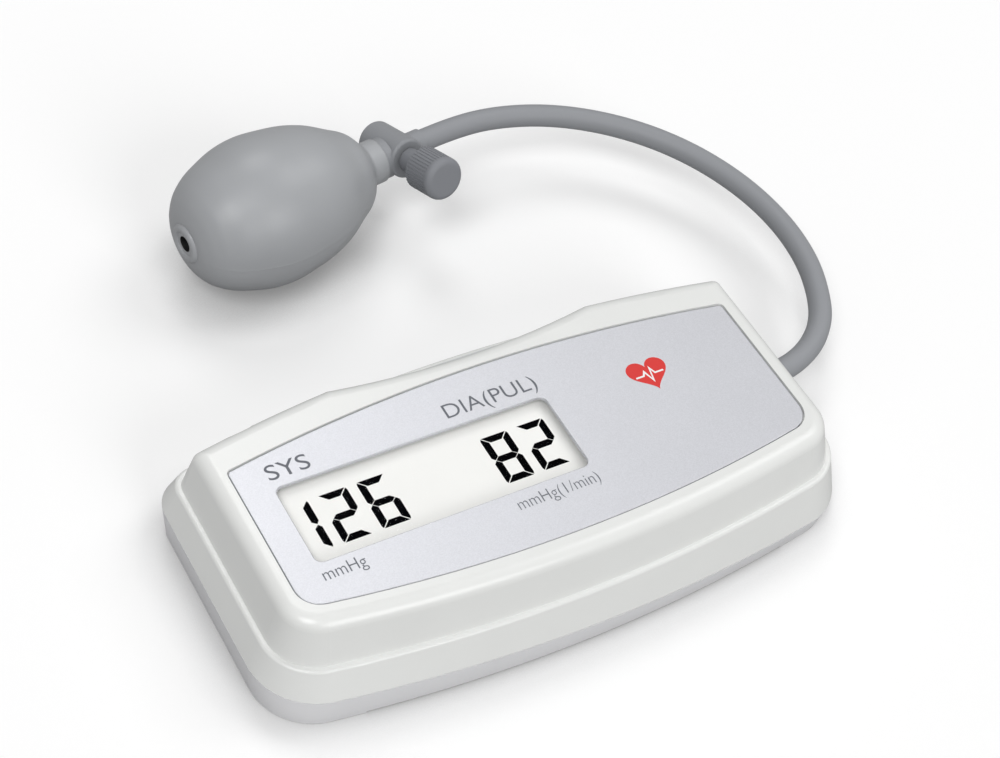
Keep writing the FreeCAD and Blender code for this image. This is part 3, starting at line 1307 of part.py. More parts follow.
def check_and_write():
    """Refuse anything that failed, then write each sub-part."""
    doc.recompute()
    for item in doc.Objects:
        if "Invalid" in item.State or "Error" in item.State:
            raise ValueError(f"{item.Name} failed: {item.State}")
    os.makedirs("parts", exist_ok=True)
    for item in nodes:
        shape = item.Shape
        if shape.isNull() or not shape.isValid():
            raise ValueError(f"{item.Label} is null or not valid")
        if len(shape.Solids) != 1:
            raise ValueError(f"{item.Label} has {len(shape.Solids)} solids")
    for item in nodes:
        item.Shape.exportStep(f"parts/{item.Label}.step")
        box = item.Shape.BoundBox
        print(f"{item.Label:22s} x {box.XMin:7.2f} {box.XMax:7.2f}  y {box.YMin:7.2f} {box.YMax:7.2f}"
              f"  z {box.ZMin:6.2f} {box.ZMax:6.2f}  volume {item.Shape.Volume:9.1f}")


doc.recompute()
make_upper_casing()
make_lower_casing()
make_battery_door()
make_front_panel()
make_display()
make_board()
make_start_button()
make_cells()
make_contacts()
make_inlet()
make_cuff_socket()
make_manifold()
make_tubes()
make_screws()
make_bulb()
make_inlet_valve()
make_valve_body()
make_knob()
make_hose()
check_and_write()
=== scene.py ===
# %% [markdown]
# # Upper-arm blood pressure monitor
# The object is a white moulded case with a silver front plate and a display, a grey hand bulb with
# its release valve, and the rubber hose that joins them. The solids come from the CAD frame. This
# lesson gives them their finishes and adds what is printed, moulded in fine relief or flexible.
#
# First the frame is loaded. The dressed object may not outgrow it.

# %% Load the frame
import json
import math

import bmesh
import bpy
from mathutils import Matrix, Vector


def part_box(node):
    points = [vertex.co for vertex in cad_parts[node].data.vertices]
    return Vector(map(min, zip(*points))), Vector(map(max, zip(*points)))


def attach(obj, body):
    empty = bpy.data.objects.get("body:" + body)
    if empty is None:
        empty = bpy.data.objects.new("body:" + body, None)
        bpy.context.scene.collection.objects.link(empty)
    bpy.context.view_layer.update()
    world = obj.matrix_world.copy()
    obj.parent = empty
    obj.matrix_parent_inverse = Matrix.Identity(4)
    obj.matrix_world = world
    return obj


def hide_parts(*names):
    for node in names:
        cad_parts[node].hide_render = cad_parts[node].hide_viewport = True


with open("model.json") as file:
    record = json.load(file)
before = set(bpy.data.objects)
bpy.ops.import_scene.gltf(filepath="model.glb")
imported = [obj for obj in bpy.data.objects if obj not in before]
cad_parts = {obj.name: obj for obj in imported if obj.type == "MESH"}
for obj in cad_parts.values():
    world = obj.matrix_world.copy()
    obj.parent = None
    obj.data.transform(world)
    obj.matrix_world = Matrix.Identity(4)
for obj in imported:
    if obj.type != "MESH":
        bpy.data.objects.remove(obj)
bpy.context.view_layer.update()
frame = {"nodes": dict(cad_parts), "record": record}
nodes = frame["nodes"]
mm = 0.001

# %% [markdown]
# ## Camera
# The camera looks down on the monitor from its front left corner. It is placed by a heading, a
# downward tilt and a roll, because these three angles can be read and changed one at a time. The
# three axes that they give become the columns of the camera's matrix.

# %% Place the camera
heading = math.radians(36.97)
tilt_down = math.radians(48.62)
roll = math.radians(10.67)
camera_spot = Vector((-0.21469, -0.31312, 0.4443))
focal_length, film_width = 77.126, 36

level_right = Vector((math.cos(heading), -math.sin(heading), 0))
level_forward = Vector((math.sin(heading), math.cos(heading), 0))
up = Vector((0, 0, 1))
forward = level_forward * math.cos(tilt_down) - up * math.sin(tilt_down)
upright = level_forward * math.sin(tilt_down) + up * math.cos(tilt_down)
camera_right = level_right * math.cos(roll) + upright * math.sin(roll)
camera_up = upright * math.cos(roll) - level_right * math.sin(roll)


def link(thing):
    bpy.context.scene.collection.objects.link(thing)
    return thing


lens = bpy.data.cameras.new("studio_camera")
lens.lens = focal_length
lens.sensor_width = film_width
lens.sensor_fit = "HORIZONTAL"
camera = link(bpy.data.objects.new("studio_camera", lens))
turned = Matrix((camera_right, camera_up, -forward)).transposed().to_4x4()
camera.matrix_world = Matrix.Translation(camera_spot) @ turned
bpy.context.scene.camera = camera
print("camera looks along", [round(v, 3) for v in forward])

# %% [markdown]
# ## Hose
# The hose is a fixed length of soft rubber tube. It leaves the valve level with the bulb, swings
# round in one wide arc and comes back straight into the inlet on the case. A tube mesh would have
# to be bent by hand, so the hose is a curve with a round bevel: one smooth spline that only needs
# its control points. The order and the end points are set after the points are there, or the
# spline stays straight. The radius sits on the points and not in the bevel depth, because a
# curve's box is measured with the radius of its points.

# %% Lay the hose
hose_route = [
    (31.54, 73.01, 21.5), (42.41, 74.73, 21.5), (57.0, 75.2, 20.6), (73.0, 71.5, 19.6),
    (87.6, 63.8, 18.6), (99.8, 53.0, 17.8), (109.0, 39.8, 17.2), (115.2, 24.4, 16.7),
    (117.7, 8.2, 16.3), (116.4, -6.8, 15.9), (112.4, -18.6, 15.4), (107.5, -27.4, 14.75),
    (99.8, -33.9, 13.9), (89.892, -37.4, 13.2), (84.992, -37.4, 13.2),
]
hose_radius = 3.3 * mm


def soft_line(name, points, radius):
    line = bpy.data.curves.new(name, "CURVE")
    line.dimensions = "3D"
    line.bevel_depth = 1.0
    line.bevel_resolution = 8
    line.use_fill_caps = True
    spline = line.splines.new("NURBS")
    spline.points.add(len(points) - 1)
    for place, point in zip(spline.points, points):
        place.co = (point[0] * mm, point[1] * mm, point[2] * mm, 1)
        place.radius = radius
    spline.order_u = 3
    spline.use_endpoint_u = True
    spline.resolution_u = 16
    spline.use_smooth = True
    return link(bpy.data.objects.new(name, line))


hose = soft_line("hose_line", hose_route, hose_radius)
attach(hose, "monitor")
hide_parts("hose")
print("hose control points:", len(hose_route))

# %% [markdown]
# ## Helpers for trees of nodes
# Finishes, the surroundings and the rules further down are all trees of nodes. A few helpers keep
# their code short: one feeds a socket with a value or a link, one adds a node with its inputs, one
# adds a step of arithmetic, and one lays two shaders over each other.

# %% Write the helpers
def feed(tree, value, socket):
    if hasattr(value, "is_output"):
        tree.links.new(value, socket)
    else:
        socket.default_value = value


def add_node(tree, kind, settings=None, **inputs):
    """A node with its settings, and values or links on its named inputs."""
    made = tree.nodes.new(kind)
    for label, value in (settings or {}).items():
        setattr(made, label, value)
    for label, value in inputs.items():
        feed(tree, value, made.inputs[label.replace("_", " ")])
    return made


def calculate(tree, operation, first, second=0.0):
    made = add_node(tree, "ShaderNodeMath", {"operation": operation})
    feed(tree, first, made.inputs[0])
    feed(tree, second, made.inputs[1])
    return made.outputs[0]


def tree_of(data):
    data.use_nodes = True
    return data.node_tree


def two_surfaces(tree, share, first, second):
    """Two shaders in one surface, where the second has the given share."""
    mix = add_node(tree, "ShaderNodeMixShader", Fac=share)
    tree.links.new(first, mix.inputs[1])
    tree.links.new(second, mix.inputs[2])
    tree.links.new(mix.outputs[0], tree.nodes["Material Output"].inputs["Surface"])


print("helpers ready")

# %% [markdown]
# ## Table
# A big pale sheet carries the object and keeps its shadow. The camera sees it almost white, but it
# throws less light back up at the object, so that walls that lean inwards stay a little darker. A
# small share of its white is a glow that only the camera sees. Hardly any of the room's light gets
# in beside the foot of a wall, and the Ambient Occlusion node paints a shade into the sheet's
# colour there.

# %% Set the table
table_reach = 6.0
white_to_camera, white_as_bounce, glow_share = 0.98, 0.45, 0.15
foot_shade_reach, foot_shade_tone = 17 * mm, 0.5
closed_in, open_sky = 0.3, 0.85


def floor_finish():
    finish = bpy.data.materials.new("pale_table")
    tree = tree_of(finish)
    shader = tree.nodes["Principled BSDF"]
    shader.inputs["Roughness"].default_value = 0.9
    shader.inputs["Specular IOR Level"].default_value = 0.1
    seen = add_node(tree, "ShaderNodeLightPath").outputs["Is Camera Ray"]
    pale = add_node(
        tree, "ShaderNodeMapRange", Value=seen, To_Min=white_as_bounce, To_Max=white_to_camera)
    # Beside the object's feet a shade is painted into the sheet's colour.
    nearby = add_node(
        tree, "ShaderNodeAmbientOcclusion", {"samples": 8}, Distance=foot_shade_reach)
    shade = add_node(
        tree, "ShaderNodeMapRange", Value=nearby.outputs["AO"], From_Min=closed_in,
        From_Max=open_sky, To_Min=foot_shade_tone)
    toned = calculate(tree, "MULTIPLY", pale.outputs[0], shade.outputs[0])
    tree.links.new(toned, shader.inputs["Base Color"])
    glow = add_node(tree, "ShaderNodeEmission", Strength=1.0)
    share = calculate(tree, "MULTIPLY", seen, glow_share)
    two_surfaces(tree, share, shader.outputs[0], glow.outputs[0])
    return finish


def studio_floor():
    corners = [(-1, -1), (1, -1), (1, 1), (-1, 1)]
    sheet = bpy.data.meshes.new("table_sheet")
    sheet.from_pydata([(x * table_reach, y * table_reach, 0) for x, y in corners], [], [range(4)])
    sheet.materials.append(floor_finish())
    return link(bpy.data.objects.new("table_sheet", sheet))


studio_floor()
print("table laid, metres across:", 2 * table_reach)

# %% [markdown]
# ## Light
# The white surroundings give an even light. They look brighter to the camera, to reflections and
# through glass than they light the object. Four lamps with broad discs stand round it: the
# strongest at the front left, a low one in front for the front walls, and one each at the right
# and at the back. Together they give soft shadows on several sides. They stay at a plain level, so
# that each colour renders about as it is written.

# %% Set the lamps
room_light, room_in_reflections = 0.3, 0.6
lamps = [
    # The name, the direction of the lamp, its strength and the width of its disc in degrees.
    ("key_lamp", (-0.45, -0.35, 0.82), 1.1, 28),
    ("right_lamp", (0.6, 0.0, 0.8), 0.6, 30),
    ("front_lamp", (0.12, -0.85, 0.5), 0.85, 30),
    ("back_lamp", (0.15, 0.55, 0.82), 0.5, 24),
]


def surroundings():
    """White to the camera and through glass, weaker in reflections, and weakest as a light."""
    world = bpy.data.worlds.new("white_surroundings")
    tree = tree_of(world)
    path = add_node(tree, "ShaderNodeLightPath").outputs
    strength = room_light
    for kind, share in (
            ("Is Camera Ray", 1.0), ("Is Transmission Ray", 1.0),
            ("Is Glossy Ray", room_in_reflections)):
        part = calculate(tree, "MULTIPLY", path[kind], share)
        strength = calculate(tree, "MAXIMUM", part, strength)
    backdrop = tree.nodes["Background"]
    feed(tree, (1, 1, 1, 1), backdrop.inputs["Color"])
    feed(tree, strength, backdrop.inputs["Strength"])
    return world


def broad_lamp(name, toward, strength, width):
    glow = bpy.data.lights.new(name, "SUN")
    glow.energy = strength
    glow.angle = math.radians(width)
    lamp = link(bpy.data.objects.new(name, glow))
    lamp.rotation_euler = (-Vector(toward)).to_track_quat("-Z", "Y").to_euler()
    lamp.location = toward


bpy.context.scene.world = surroundings()
for name, toward, strength, width in lamps:
    broad_lamp(name, toward, strength, width)
bpy.context.scene.view_settings.view_transform = "Standard"
print("lamps set:", len(lamps))

# %% [markdown]
# ## Shared effects for the finishes
# Moulded plastic is never one flat colour: its tool leaves a fine grain, and handling polishes
# some places. Silver paint holds small flakes, and each flake tips its own way. Each effect is a
# small node group with named inputs that gives out heights, roughness or colours, and a finish
# places it with its own values.

# %% Helpers for the effects
def effect(name, inputs, outputs):
    group = bpy.data.node_groups.new(name, "ShaderNodeTree")
    for label, kind, value in inputs:
        socket = group.interface.new_socket(label, in_out="INPUT", socket_type=kind)
        socket.default_value = value
    for label, kind in outputs:
        group.interface.new_socket(label, in_out="OUTPUT", socket_type=kind)
    return group, group.nodes.new("NodeGroupInput"), group.nodes.new("NodeGroupOutput")


def cloud_pattern(tree, scale, detail, rough=0.5):
    place = add_node(tree, "ShaderNodeTexCoord")
    made = add_node(
        tree, "ShaderNodeTexNoise", Vector=place.outputs["Object"], Scale=scale, Detail=detail,
        Roughness=rough)
    return made.outputs["Fac"]


def scaled_colour(tree, colour, factor):
    made = add_node(tree, "ShaderNodeVectorMath", {"operation": "SCALE"}, Scale=factor)
    feed(tree, colour, made.inputs[0])
    return made.outputs[0]


print("effect helpers ready")

# %% Tool grain
ripple_scale, ripple_share = 0.12, 0.5


def tool_grain():
    """The fine texture that a mould's spark-eroded wall leaves, with a few wider ripples."""
    group, start, end = effect(
        "tool_grain",
        [("Scale", "NodeSocketFloat", 2500.0), ("Depth", "NodeSocketFloat", 0.5)],
        [("Height", "NodeSocketFloat")],
    )
    fine = cloud_pattern(group, start.outputs["Scale"], 2.0)
    wide_scale = calculate(group, "MULTIPLY", start.outputs["Scale"], ripple_scale)
    wide = cloud_pattern(group, wide_scale, 2.0)
    both = calculate(group, "ADD", fine, calculate(group, "MULTIPLY", wide, ripple_share))
    height = calculate(group, "MULTIPLY", both, start.outputs["Depth"])
    group.links.new(height, end.inputs["Height"])
    return group


grain_effect = tool_grain()
print("effect:", grain_effect.name)

# %% Handling
def handled():
    """A colour with slow changes, and a roughness that hands have polished here and there."""
    group, start, end = effect(
        "handled",
        [
            ("Colour", "NodeSocketColor", (0.8, 0.8, 0.8, 1)),
            ("Shade", "NodeSocketFloat", 0.04),
            ("Roughness", "NodeSocketFloat", 0.4),
            ("Polish", "NodeSocketFloat", 0.08),
            ("Scale", "NodeSocketFloat", 60.0),
        ],
        [("Colour", "NodeSocketColor"), ("Roughness", "NodeSocketFloat")],
    )
    cloud = cloud_pattern(group, start.outputs["Scale"], 4.0, 0.6)
    away = calculate(group, "SUBTRACT", cloud, 0.5)
    polish = calculate(group, "MULTIPLY", away, start.outputs["Polish"])
    rough = calculate(group, "ADD", start.outputs["Roughness"], polish)
    group.links.new(rough, end.inputs["Roughness"])
    shade = calculate(group, "MULTIPLY", away, start.outputs["Shade"])
    bright = calculate(group, "ADD", 1.0, shade)
    colour = scaled_colour(group, start.outputs["Colour"], bright)
    group.links.new(colour, end.inputs["Colour"])
    return group


handled_effect = handled()
print("effect:", handled_effect.name)

# %% Silver flakes
def flakes():
    """Small cells that each shift the colour and tip the surface a little."""
    group, start, end = effect(
        "silver_flakes",
        [
            ("Colour", "NodeSocketColor", (0.7, 0.7, 0.7, 1)),
            ("Scale", "NodeSocketFloat", 4000.0),
            ("Sparkle", "NodeSocketFloat", 0.1),
        ],
        [("Colour", "NodeSocketColor"), ("Height", "NodeSocketFloat")],
    )
    place = add_node(group, "ShaderNodeTexCoord")
    cells = add_node(
        group, "ShaderNodeTexVoronoi", Vector=place.outputs["Object"],
        Scale=start.outputs["Scale"])
    chances = add_node(group, "ShaderNodeSeparateColor", Color=cells.outputs["Color"])
    away = calculate(group, "SUBTRACT", chances.outputs[0], 0.5)
    shift = calculate(group, "MULTIPLY", away, start.outputs["Sparkle"])
    colour = scaled_colour(
        group, start.outputs["Colour"], calculate(group, "ADD", 1.0, shift))
    group.links.new(colour, end.inputs["Colour"])
    group.links.new(chances.outputs[1], end.inputs["Height"])
    return group


flake_effect = flakes()
print("effect:", flake_effect.name)

# %% [markdown]
# ## Finishes
# Every finish starts from the same recipe: a colour with slow changes, a roughness that varies
# where hands polish it, and a fine grain in the normal. The values are what tell satin ABS plastic
# from rubber or from printed ink. Lengths in a pattern are turned round: a scale of 2500 puts
# 2500 grains on a metre, which is 0.4 mm for each.

# %% The common recipe
grain_relief = 0.2 * mm


def place_effect(tree, group, values):
    made = add_node(tree, "ShaderNodeGroup", {"node_tree": group})
    for label, value in values.items():
        feed(tree, value, made.inputs[label])
    return made


def relief(tree, shader, height, strength, depth):
    bump = add_node(tree, "ShaderNodeBump", Strength=strength, Distance=depth, Height=height)
    tree.links.new(bump.outputs["Normal"], shader.inputs["Normal"])


def finish(name, colour, rough, grain=2500.0, depth=0.3, shade=0.05, polish=0.1, cloud=60.0,
           bump=0.1, metallic=0.0, gloss=0.5):
    material = bpy.data.materials.new(name)
    tree = tree_of(material)
    shader = tree.nodes["Principled BSDF"]
    worn = place_effect(tree, handled_effect, {
        "Colour": (*colour, 1), "Shade": shade, "Roughness": rough, "Polish": polish,
        "Scale": cloud,
    })
    tree.links.new(worn.outputs["Colour"], shader.inputs["Base Color"])
    tree.links.new(worn.outputs["Roughness"], shader.inputs["Roughness"])
    grained = place_effect(tree, grain_effect, {"Scale": grain, "Depth": depth})
    relief(tree, shader, grained.outputs["Height"], bump, grain_relief)
    shader.inputs["Metallic"].default_value = metallic
    shader.inputs["Specular IOR Level"].default_value = gloss
    return material


def from_srgb(red, green, blue):
    """A colour as it is seen on a screen, turned into the linear values that shaders work with."""
    def linear(value):
        value = value / 255
        return value / 12.92 if value <= 0.04045 else ((value + 0.055) / 1.055) ** 2.4
    return linear(red), linear(green), linear(blue)


print("recipe ready")

# %% Finishes of the moulded and cut parts
finishes = {
    "casing": finish(
        "satin_white_casing", from_srgb(230, 231, 229), 0.23, grain=1800, depth=0.4,
        polish=0.05),
    # The lower casing is the same plastic as the upper one. Its paler white is painted light that
    # makes up for the shade under the upper casing.
    "base": finish(
        "white_base_with_painted_light", from_srgb(241, 241, 243), 0.34, grain=1800, depth=0.4),
    "lcd": finish(
        "display_face", from_srgb(247, 247, 244), 0.5, grain=300, depth=0.1, bump=0.02,
        gloss=0.2),
    "inner_plastic": finish("inner_plastic", from_srgb(225, 225, 221), 0.5),
    "elastomer": finish("contact_elastomer", from_srgb(60, 60, 62), 0.7),
    "board": finish("board_lacquer", from_srgb(34, 92, 58), 0.35, grain=900, depth=0.5),
    "switch": finish("switch_plastic", from_srgb(50, 50, 52), 0.45),
    "button": finish("button_plastic", from_srgb(206, 208, 209), 0.4, grain=2200, depth=0.5),
    "grey_plastic": finish(
        "fitting_plastic", from_srgb(158, 161, 164), 0.45, grain=2200, depth=0.5),
    "brass": finish("brass", from_srgb(196, 160, 96), 0.3, metallic=1.0),
    "tube": finish("silicone_tube", from_srgb(222, 222, 216), 0.5),
    "bulb_rubber": finish(
        "bulb_rubber", from_srgb(160, 162, 165), 0.42, grain=1400, depth=0.5, shade=0.08,
        cloud=35.0, gloss=0.6),
    "hose_rubber": finish(
        "hose_rubber", from_srgb(144, 146, 150), 0.5, grain=1600, depth=0.5, gloss=0.35),
    "valve_plastic": finish("valve_plastic", from_srgb(142, 144, 148), 0.45, gloss=0.4),
    "knob_plastic": finish("knob_plastic", from_srgb(130, 132, 137), 0.5, gloss=0.35),
    "steel": finish("steel", from_srgb(196, 197, 199), 0.3, metallic=1.0),
    "dark_ball": finish("dark_ball", from_srgb(24, 24, 27), 0.5, gloss=0.2),
    "cell": finish("cell_sleeve", from_srgb(70, 74, 80), 0.35, metallic=0.4),
}
print("finishes mixed:", len(finishes))

# %% [markdown]
# ## Silver plate and clear lens
# The plate is a plastic sheet sprayed silver. Up close its flakes sparkle, so it takes the flake
# effect and a share of metal. The lens is plain acrylic with an anti-glare skin, which takes away
# nearly all of its mirror image, so its index of refraction is set far below that of acrylic. It
# lets the lamps through to the display, because a lens that stopped them would leave the display
# in its own dark shadow.

# %% Mix the plate and the lens
flake_bump, flake_relief, metal_share = 0.12, 0.02 * mm, 0.5
lens_polish, lens_index, lens_tint = 0.03, 1.04, (0.98, 0.98, 0.98, 1)


def silver_plate():
    material = bpy.data.materials.new("silver_plate")
    tree = tree_of(material)
    shader = tree.nodes["Principled BSDF"]
    flaked = place_effect(tree, flake_effect, {
        "Colour": (*from_srgb(200, 201, 206), 1), "Scale": 4500.0, "Sparkle": 0.1,
    })
    worn = place_effect(tree, handled_effect, {
        "Colour": flaked.outputs["Colour"], "Shade": 0.04, "Roughness": 0.38, "Polish": 0.06,
        "Scale": 40.0,
    })
    tree.links.new(worn.outputs["Colour"], shader.inputs["Base Color"])
    tree.links.new(worn.outputs["Roughness"], shader.inputs["Roughness"])
    relief(tree, shader, flaked.outputs["Height"], flake_bump, flake_relief)
    shader.inputs["Metallic"].default_value = metal_share
    return material


def clear_lens():
    material = bpy.data.materials.new("clear_lens")
    tree = tree_of(material)
    shader = tree.nodes["Principled BSDF"]
    shader.inputs["Base Color"].default_value = (1, 1, 1, 1)
    shader.inputs["Roughness"].default_value = lens_polish
    shader.inputs["IOR"].default_value = lens_index
    shader.inputs["Transmission Weight"].default_value = 1.0
    passing = add_node(tree, "ShaderNodeBsdfTransparent", Color=lens_tint)
    path = add_node(tree, "ShaderNodeLightPath").outputs
    lamplight = calculate(tree, "MAXIMUM", path["Is Shadow Ray"], path["Is Diffuse Ray"])
    two_surfaces(tree, lamplight, shader.outputs[0], passing.outputs[0])
    return material


finishes["panel"] = silver_plate()
finishes["lens"] = clear_lens()
print("plate and lens mixed")

# %% [markdown]
# ## Dark mouth of the inlet valve
# Air enters the bulb through a narrow mouth at its end, and hardly any light reaches down there.
# The mouth in the solid is short, so it would look pale. A mask goes by the distance from the
# bulb's own axis: a Mapping node moves and turns the coordinates to that axis, and everything
# nearer to it than the mouth's wall takes a near black tone: painted shade.

# %% Darken the mouth
bulb_end = Vector((-46.78, 60.6, 21.5)) * mm
bulb_turn = math.radians(9.0)
mouth_radius, mouth_edge, mouth_tone = 2.25 * mm, 0.2 * mm, 0.04


def dark_mouth(base):
    material = base.copy()
    material.name = "dark_mouth"
    tree = material.node_tree
    place = add_node(tree, "ShaderNodeTexCoord")
    centred = add_node(
        tree, "ShaderNodeMapping", {"vector_type": "TEXTURE"}, Vector=place.outputs["Object"],
        Location=bulb_end, Rotation=(0, 0, bulb_turn))
    across = add_node(tree, "ShaderNodeVectorMath", {"operation": "MULTIPLY"})
    feed(tree, centred.outputs["Vector"], across.inputs[0])
    feed(tree, (0, 1, 1), across.inputs[1])
    away = add_node(tree, "ShaderNodeVectorMath", {"operation": "LENGTH"})
    feed(tree, across.outputs[0], away.inputs[0])
    # The near black tone near the axis is painted shade.
    light = add_node(
        tree, "ShaderNodeMapRange", Value=away.outputs["Value"], From_Min=mouth_radius,
        From_Max=mouth_radius + mouth_edge, To_Min=mouth_tone)
    colour = tree.nodes["Principled BSDF"].inputs["Base Color"]
    rubber = colour.links[0].from_socket
    tree.links.new(scaled_colour(tree, rubber, light.outputs["Result"]), colour)
    return material


finishes["inlet_body"] = dark_mouth(finishes["bulb_rubber"])
print("mouth is dark to", round(mouth_radius / mm, 2), "mm from the axis")

# %% [markdown]
# ## Dressing the solids
# The record names a finish slot for each solid, so one loop dresses them all. Three solids look
# different from the rest of their slot and have a finish of their own: the lower half casing is a
# less glossy white, made paler than the upper casing as painted light against the shade it lies
# in, the ball in the inlet valve is dark, and the valve's body has a mouth painted dark as shade.

# %% Dress the solids and the hose
own_finish = {
    "inlet_valve_ball": "dark_ball", "inlet_valve_body": "inlet_body", "lower_casing": "base",
}
for part in frame["record"]["subparts"]:
    solid = nodes[part["node"]]
    chosen = own_finish.get(part["node"], part["material_slot"])
    solid.data.materials.clear()
    solid.data.materials.append(finishes[chosen])
hose.data.materials.append(finishes["hose_rubber"])

# %% [markdown]
# ## Printing on the silver plate
# The plate is screen printed in dark grey, in a thin plain letter. Text objects give clean letter
# outlines. Each word is made a mesh first and then fitted between its left and right ends, with
# its capitals at their real height, so that the piece itself stays at the origin. The ink is a
# layer a few hundredths of a millimetre thick.

# %% Helpers for printed pieces
plate_low, plate_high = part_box("front_panel")
plate_top = plate_high.z
plate_offset = 2.15 * mm
# Words, digits and the heart are measured from this line along the case.
case_y = (plate_low.y + plate_high.y) / 2 + plate_offset
ink_thickness = 0.03 * mm


def new_piece(name, mesh, material, body):
    mesh.name = name
    mesh.materials.clear()
    mesh.materials.append(material)
    piece = link(bpy.data.objects.new(name, mesh))
    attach(piece, body)
    return piece


def letters(words, weight):
    """The words as a mesh of plain letters. The weight makes their strokes wider or narrower."""
    text = bpy.data.curves.new("letters", "FONT")
    text.body = words
    text.size = 1.0
    text.offset = weight
    text.extrude = 0.5
    text.resolution_u = 6
    holder = link(bpy.data.objects.new("letters", text))
    drawn = holder.evaluated_get(bpy.context.evaluated_depsgraph_get())
    mesh = bpy.data.meshes.new_from_object(drawn)
    bpy.data.objects.remove(holder)
    return mesh


def reach(mesh, axis):
    values = [v.co[axis] for v in mesh.vertices]
    return min(values), max(values)


capital_height = reach(letters("H", 0.0), 1)[1]
print("a capital is", round(capital_height, 3), "of the letter size")

# %% Print the captions
captions = [
    # The piece, its words, left and right end, foot and height of a capital in mm, and the weight.
    ("caption_sys", "SYS", -63.9, -52.6, 13.1, 4.6, 0.0),
    ("caption_dia", "DIA(PUL)", -14.5, 11.9, 13.4, 4.5, -0.006),
    ("caption_mmhg", "mmHg", -64.4, -53.1, -18.9, 3.45, -0.008),
    ("caption_rate", "mmHg(1/min)", -11.6, 11.5, -19.3, 3.45, -0.012),
]


def printed(name, words, left, right, foot, capital, weight):
    """The words from left to right and standing on the line foot, in millimetres on the plate."""
    mesh = letters(words, weight)
    low, high = reach(mesh, 0)
    wide = (right - left) * mm / (high - low)
    tall = capital * mm / capital_height
    size = Matrix.Diagonal((wide, tall, ink_thickness, 1))
    middle = plate_top + ink_thickness / 2
    place = Matrix.Translation((left * mm, case_y + foot * mm, middle))
    mesh.transform(place @ size @ Matrix.Translation((-low, 0, 0)))
    return new_piece(name, mesh, ink, "monitor")


ink = finish("grey_ink", from_srgb(104, 107, 114), 0.5, grain=4000, depth=0.2, gloss=0.3)
for caption in captions:
    printed(*caption)
print("captions printed, plate top at", round(plate_top / mm, 2), "mm")

# %% [markdown]
# ## Digits of the display
# A display digit is seven bars with mitred ends and thin light gaps between them. Drawing each bar
# once, in millimetres from the digit's lower left corner, keeps all digits alike: a digit is then
# only the list of its bars that are dark.

# %% Draw the bars of one digit
digit_width, digit_height = 7.9, 15.2
bar, gap = 1.95, 0.24
bar_end, corner_cut, corner_nick = 0.45, 0.85, 0.15
point_share, shoulder_share = 0.4, 0.45


def bar_outlines():
    w, h, t, e = digit_width, digit_height, bar, gap / 2
    m = h / 2
    top = [(bar_end, h), (w - bar_end, h), (w - bar_end - t, h - t), (bar_end + t, h - t)]
    step = bar_end - gap * math.sqrt(2)
    upper_right = [
        (w - step - corner_nick, h - corner_nick), (w, h - corner_cut),
        (w, m + shoulder_share * t + e), (w - point_share * t, m + e), (w - t, m + t / 2 + e),
        (w - t, h - t + step),
    ]
    point = point_share * t
    middle = [
        (point + e, m), (t + e / 2, m + t / 2), (w - t - e / 2, m + t / 2),
        (w - point - e, m), (w - t - e / 2, m - t / 2), (t + e / 2, m - t / 2),
    ]

    def over(points):
        return [(x, h - y) for x, y in reversed(points)]

    def across(points):
        return [(w - x, y) for x, y in reversed(points)]

    return {
        "top": top, "bottom": over(top), "middle": middle,
        "upper right": upper_right, "lower right": over(upper_right),
        "upper left": across(upper_right), "lower left": across(over(upper_right)),
    }


dark_bars = {
    "1": ("upper right", "lower right"),
    "2": ("top", "upper right", "middle", "lower left", "bottom"),
    "6": ("top", "upper left", "middle", "lower left", "lower right", "bottom"),
    "8": ("top", "upper left", "upper right", "middle", "lower left", "lower right", "bottom"),
}
print("bars in a digit:", len(bar_outlines()))

# %% Set the reading
# Each digit with its left end, in millimetres.
reading = [("1", -65.05), ("2", -54.55), ("6", -44.0), ("8", -9.25), ("2", 1.2)]
digit_foot = -9.05
glass_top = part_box("display_glass")[1].z


def slab(sheet, corners, low, high):
    """A closed flat plate from a ring of corners, between two heights."""
    under = [sheet.verts.new((x, y, low)) for x, y in corners]
    over = [sheet.verts.new((x, y, high)) for x, y in corners]
    sheet.faces.new(list(reversed(under)))
    sheet.faces.new(over)
    for index in range(len(corners)):
        after = (index + 1) % len(corners)
        sheet.faces.new((under[index], under[after], over[after], over[index]))


def kept(sheet, name):
    bmesh.ops.recalc_face_normals(sheet, faces=sheet.faces)
    mesh = bpy.data.meshes.new(name)
    sheet.to_mesh(mesh)
    sheet.free()
    return mesh


def digits():
    shapes = bar_outlines()
    sheet = bmesh.new()
    for digit, left in reading:
        for which in dark_bars[digit]:
            corners = [
                ((left + x) * mm, case_y + (digit_foot + y) * mm) for x, y in shapes[which]
            ]
            slab(sheet, corners, glass_top, glass_top + ink_thickness)
    return kept(sheet, "digits")


dark = finish("dark_crystal", from_srgb(6, 6, 8), 0.6, grain=3000, depth=0.1, gloss=0.0)
new_piece("reading_digits", digits(), dark, "monitor")
print("dark bars:", sum(len(dark_bars[digit]) for digit, _ in reading))

# %% [markdown]
# ## Heart mark
# The plate carries one red mark at the right. It is a plain heart with a pulse line across it. The
# heart is an outline of smooth points, filled flat, and the line is a narrow ribbon laid on it.

# %% Print the heart
mark_x, mark_y, mark_size = 41.2, 5.7, 11.5
curve_width, curve_middle = 32, 2.5
sharpest = 0.35


def heart_outline(count=72):
    """The usual heart curve of sines and cosines, brought to a width of one."""
    points = []
    for step in range(count):
        turn = 2 * math.pi * step / count
        x = 16 * math.sin(turn) ** 3
        y = 13 * math.cos(turn) - 5 * math.cos(2 * turn) - 2 * math.cos(3 * turn)
        y = y - math.cos(4 * turn) + curve_middle
        points.append((x / curve_width, y / curve_width))
    return points


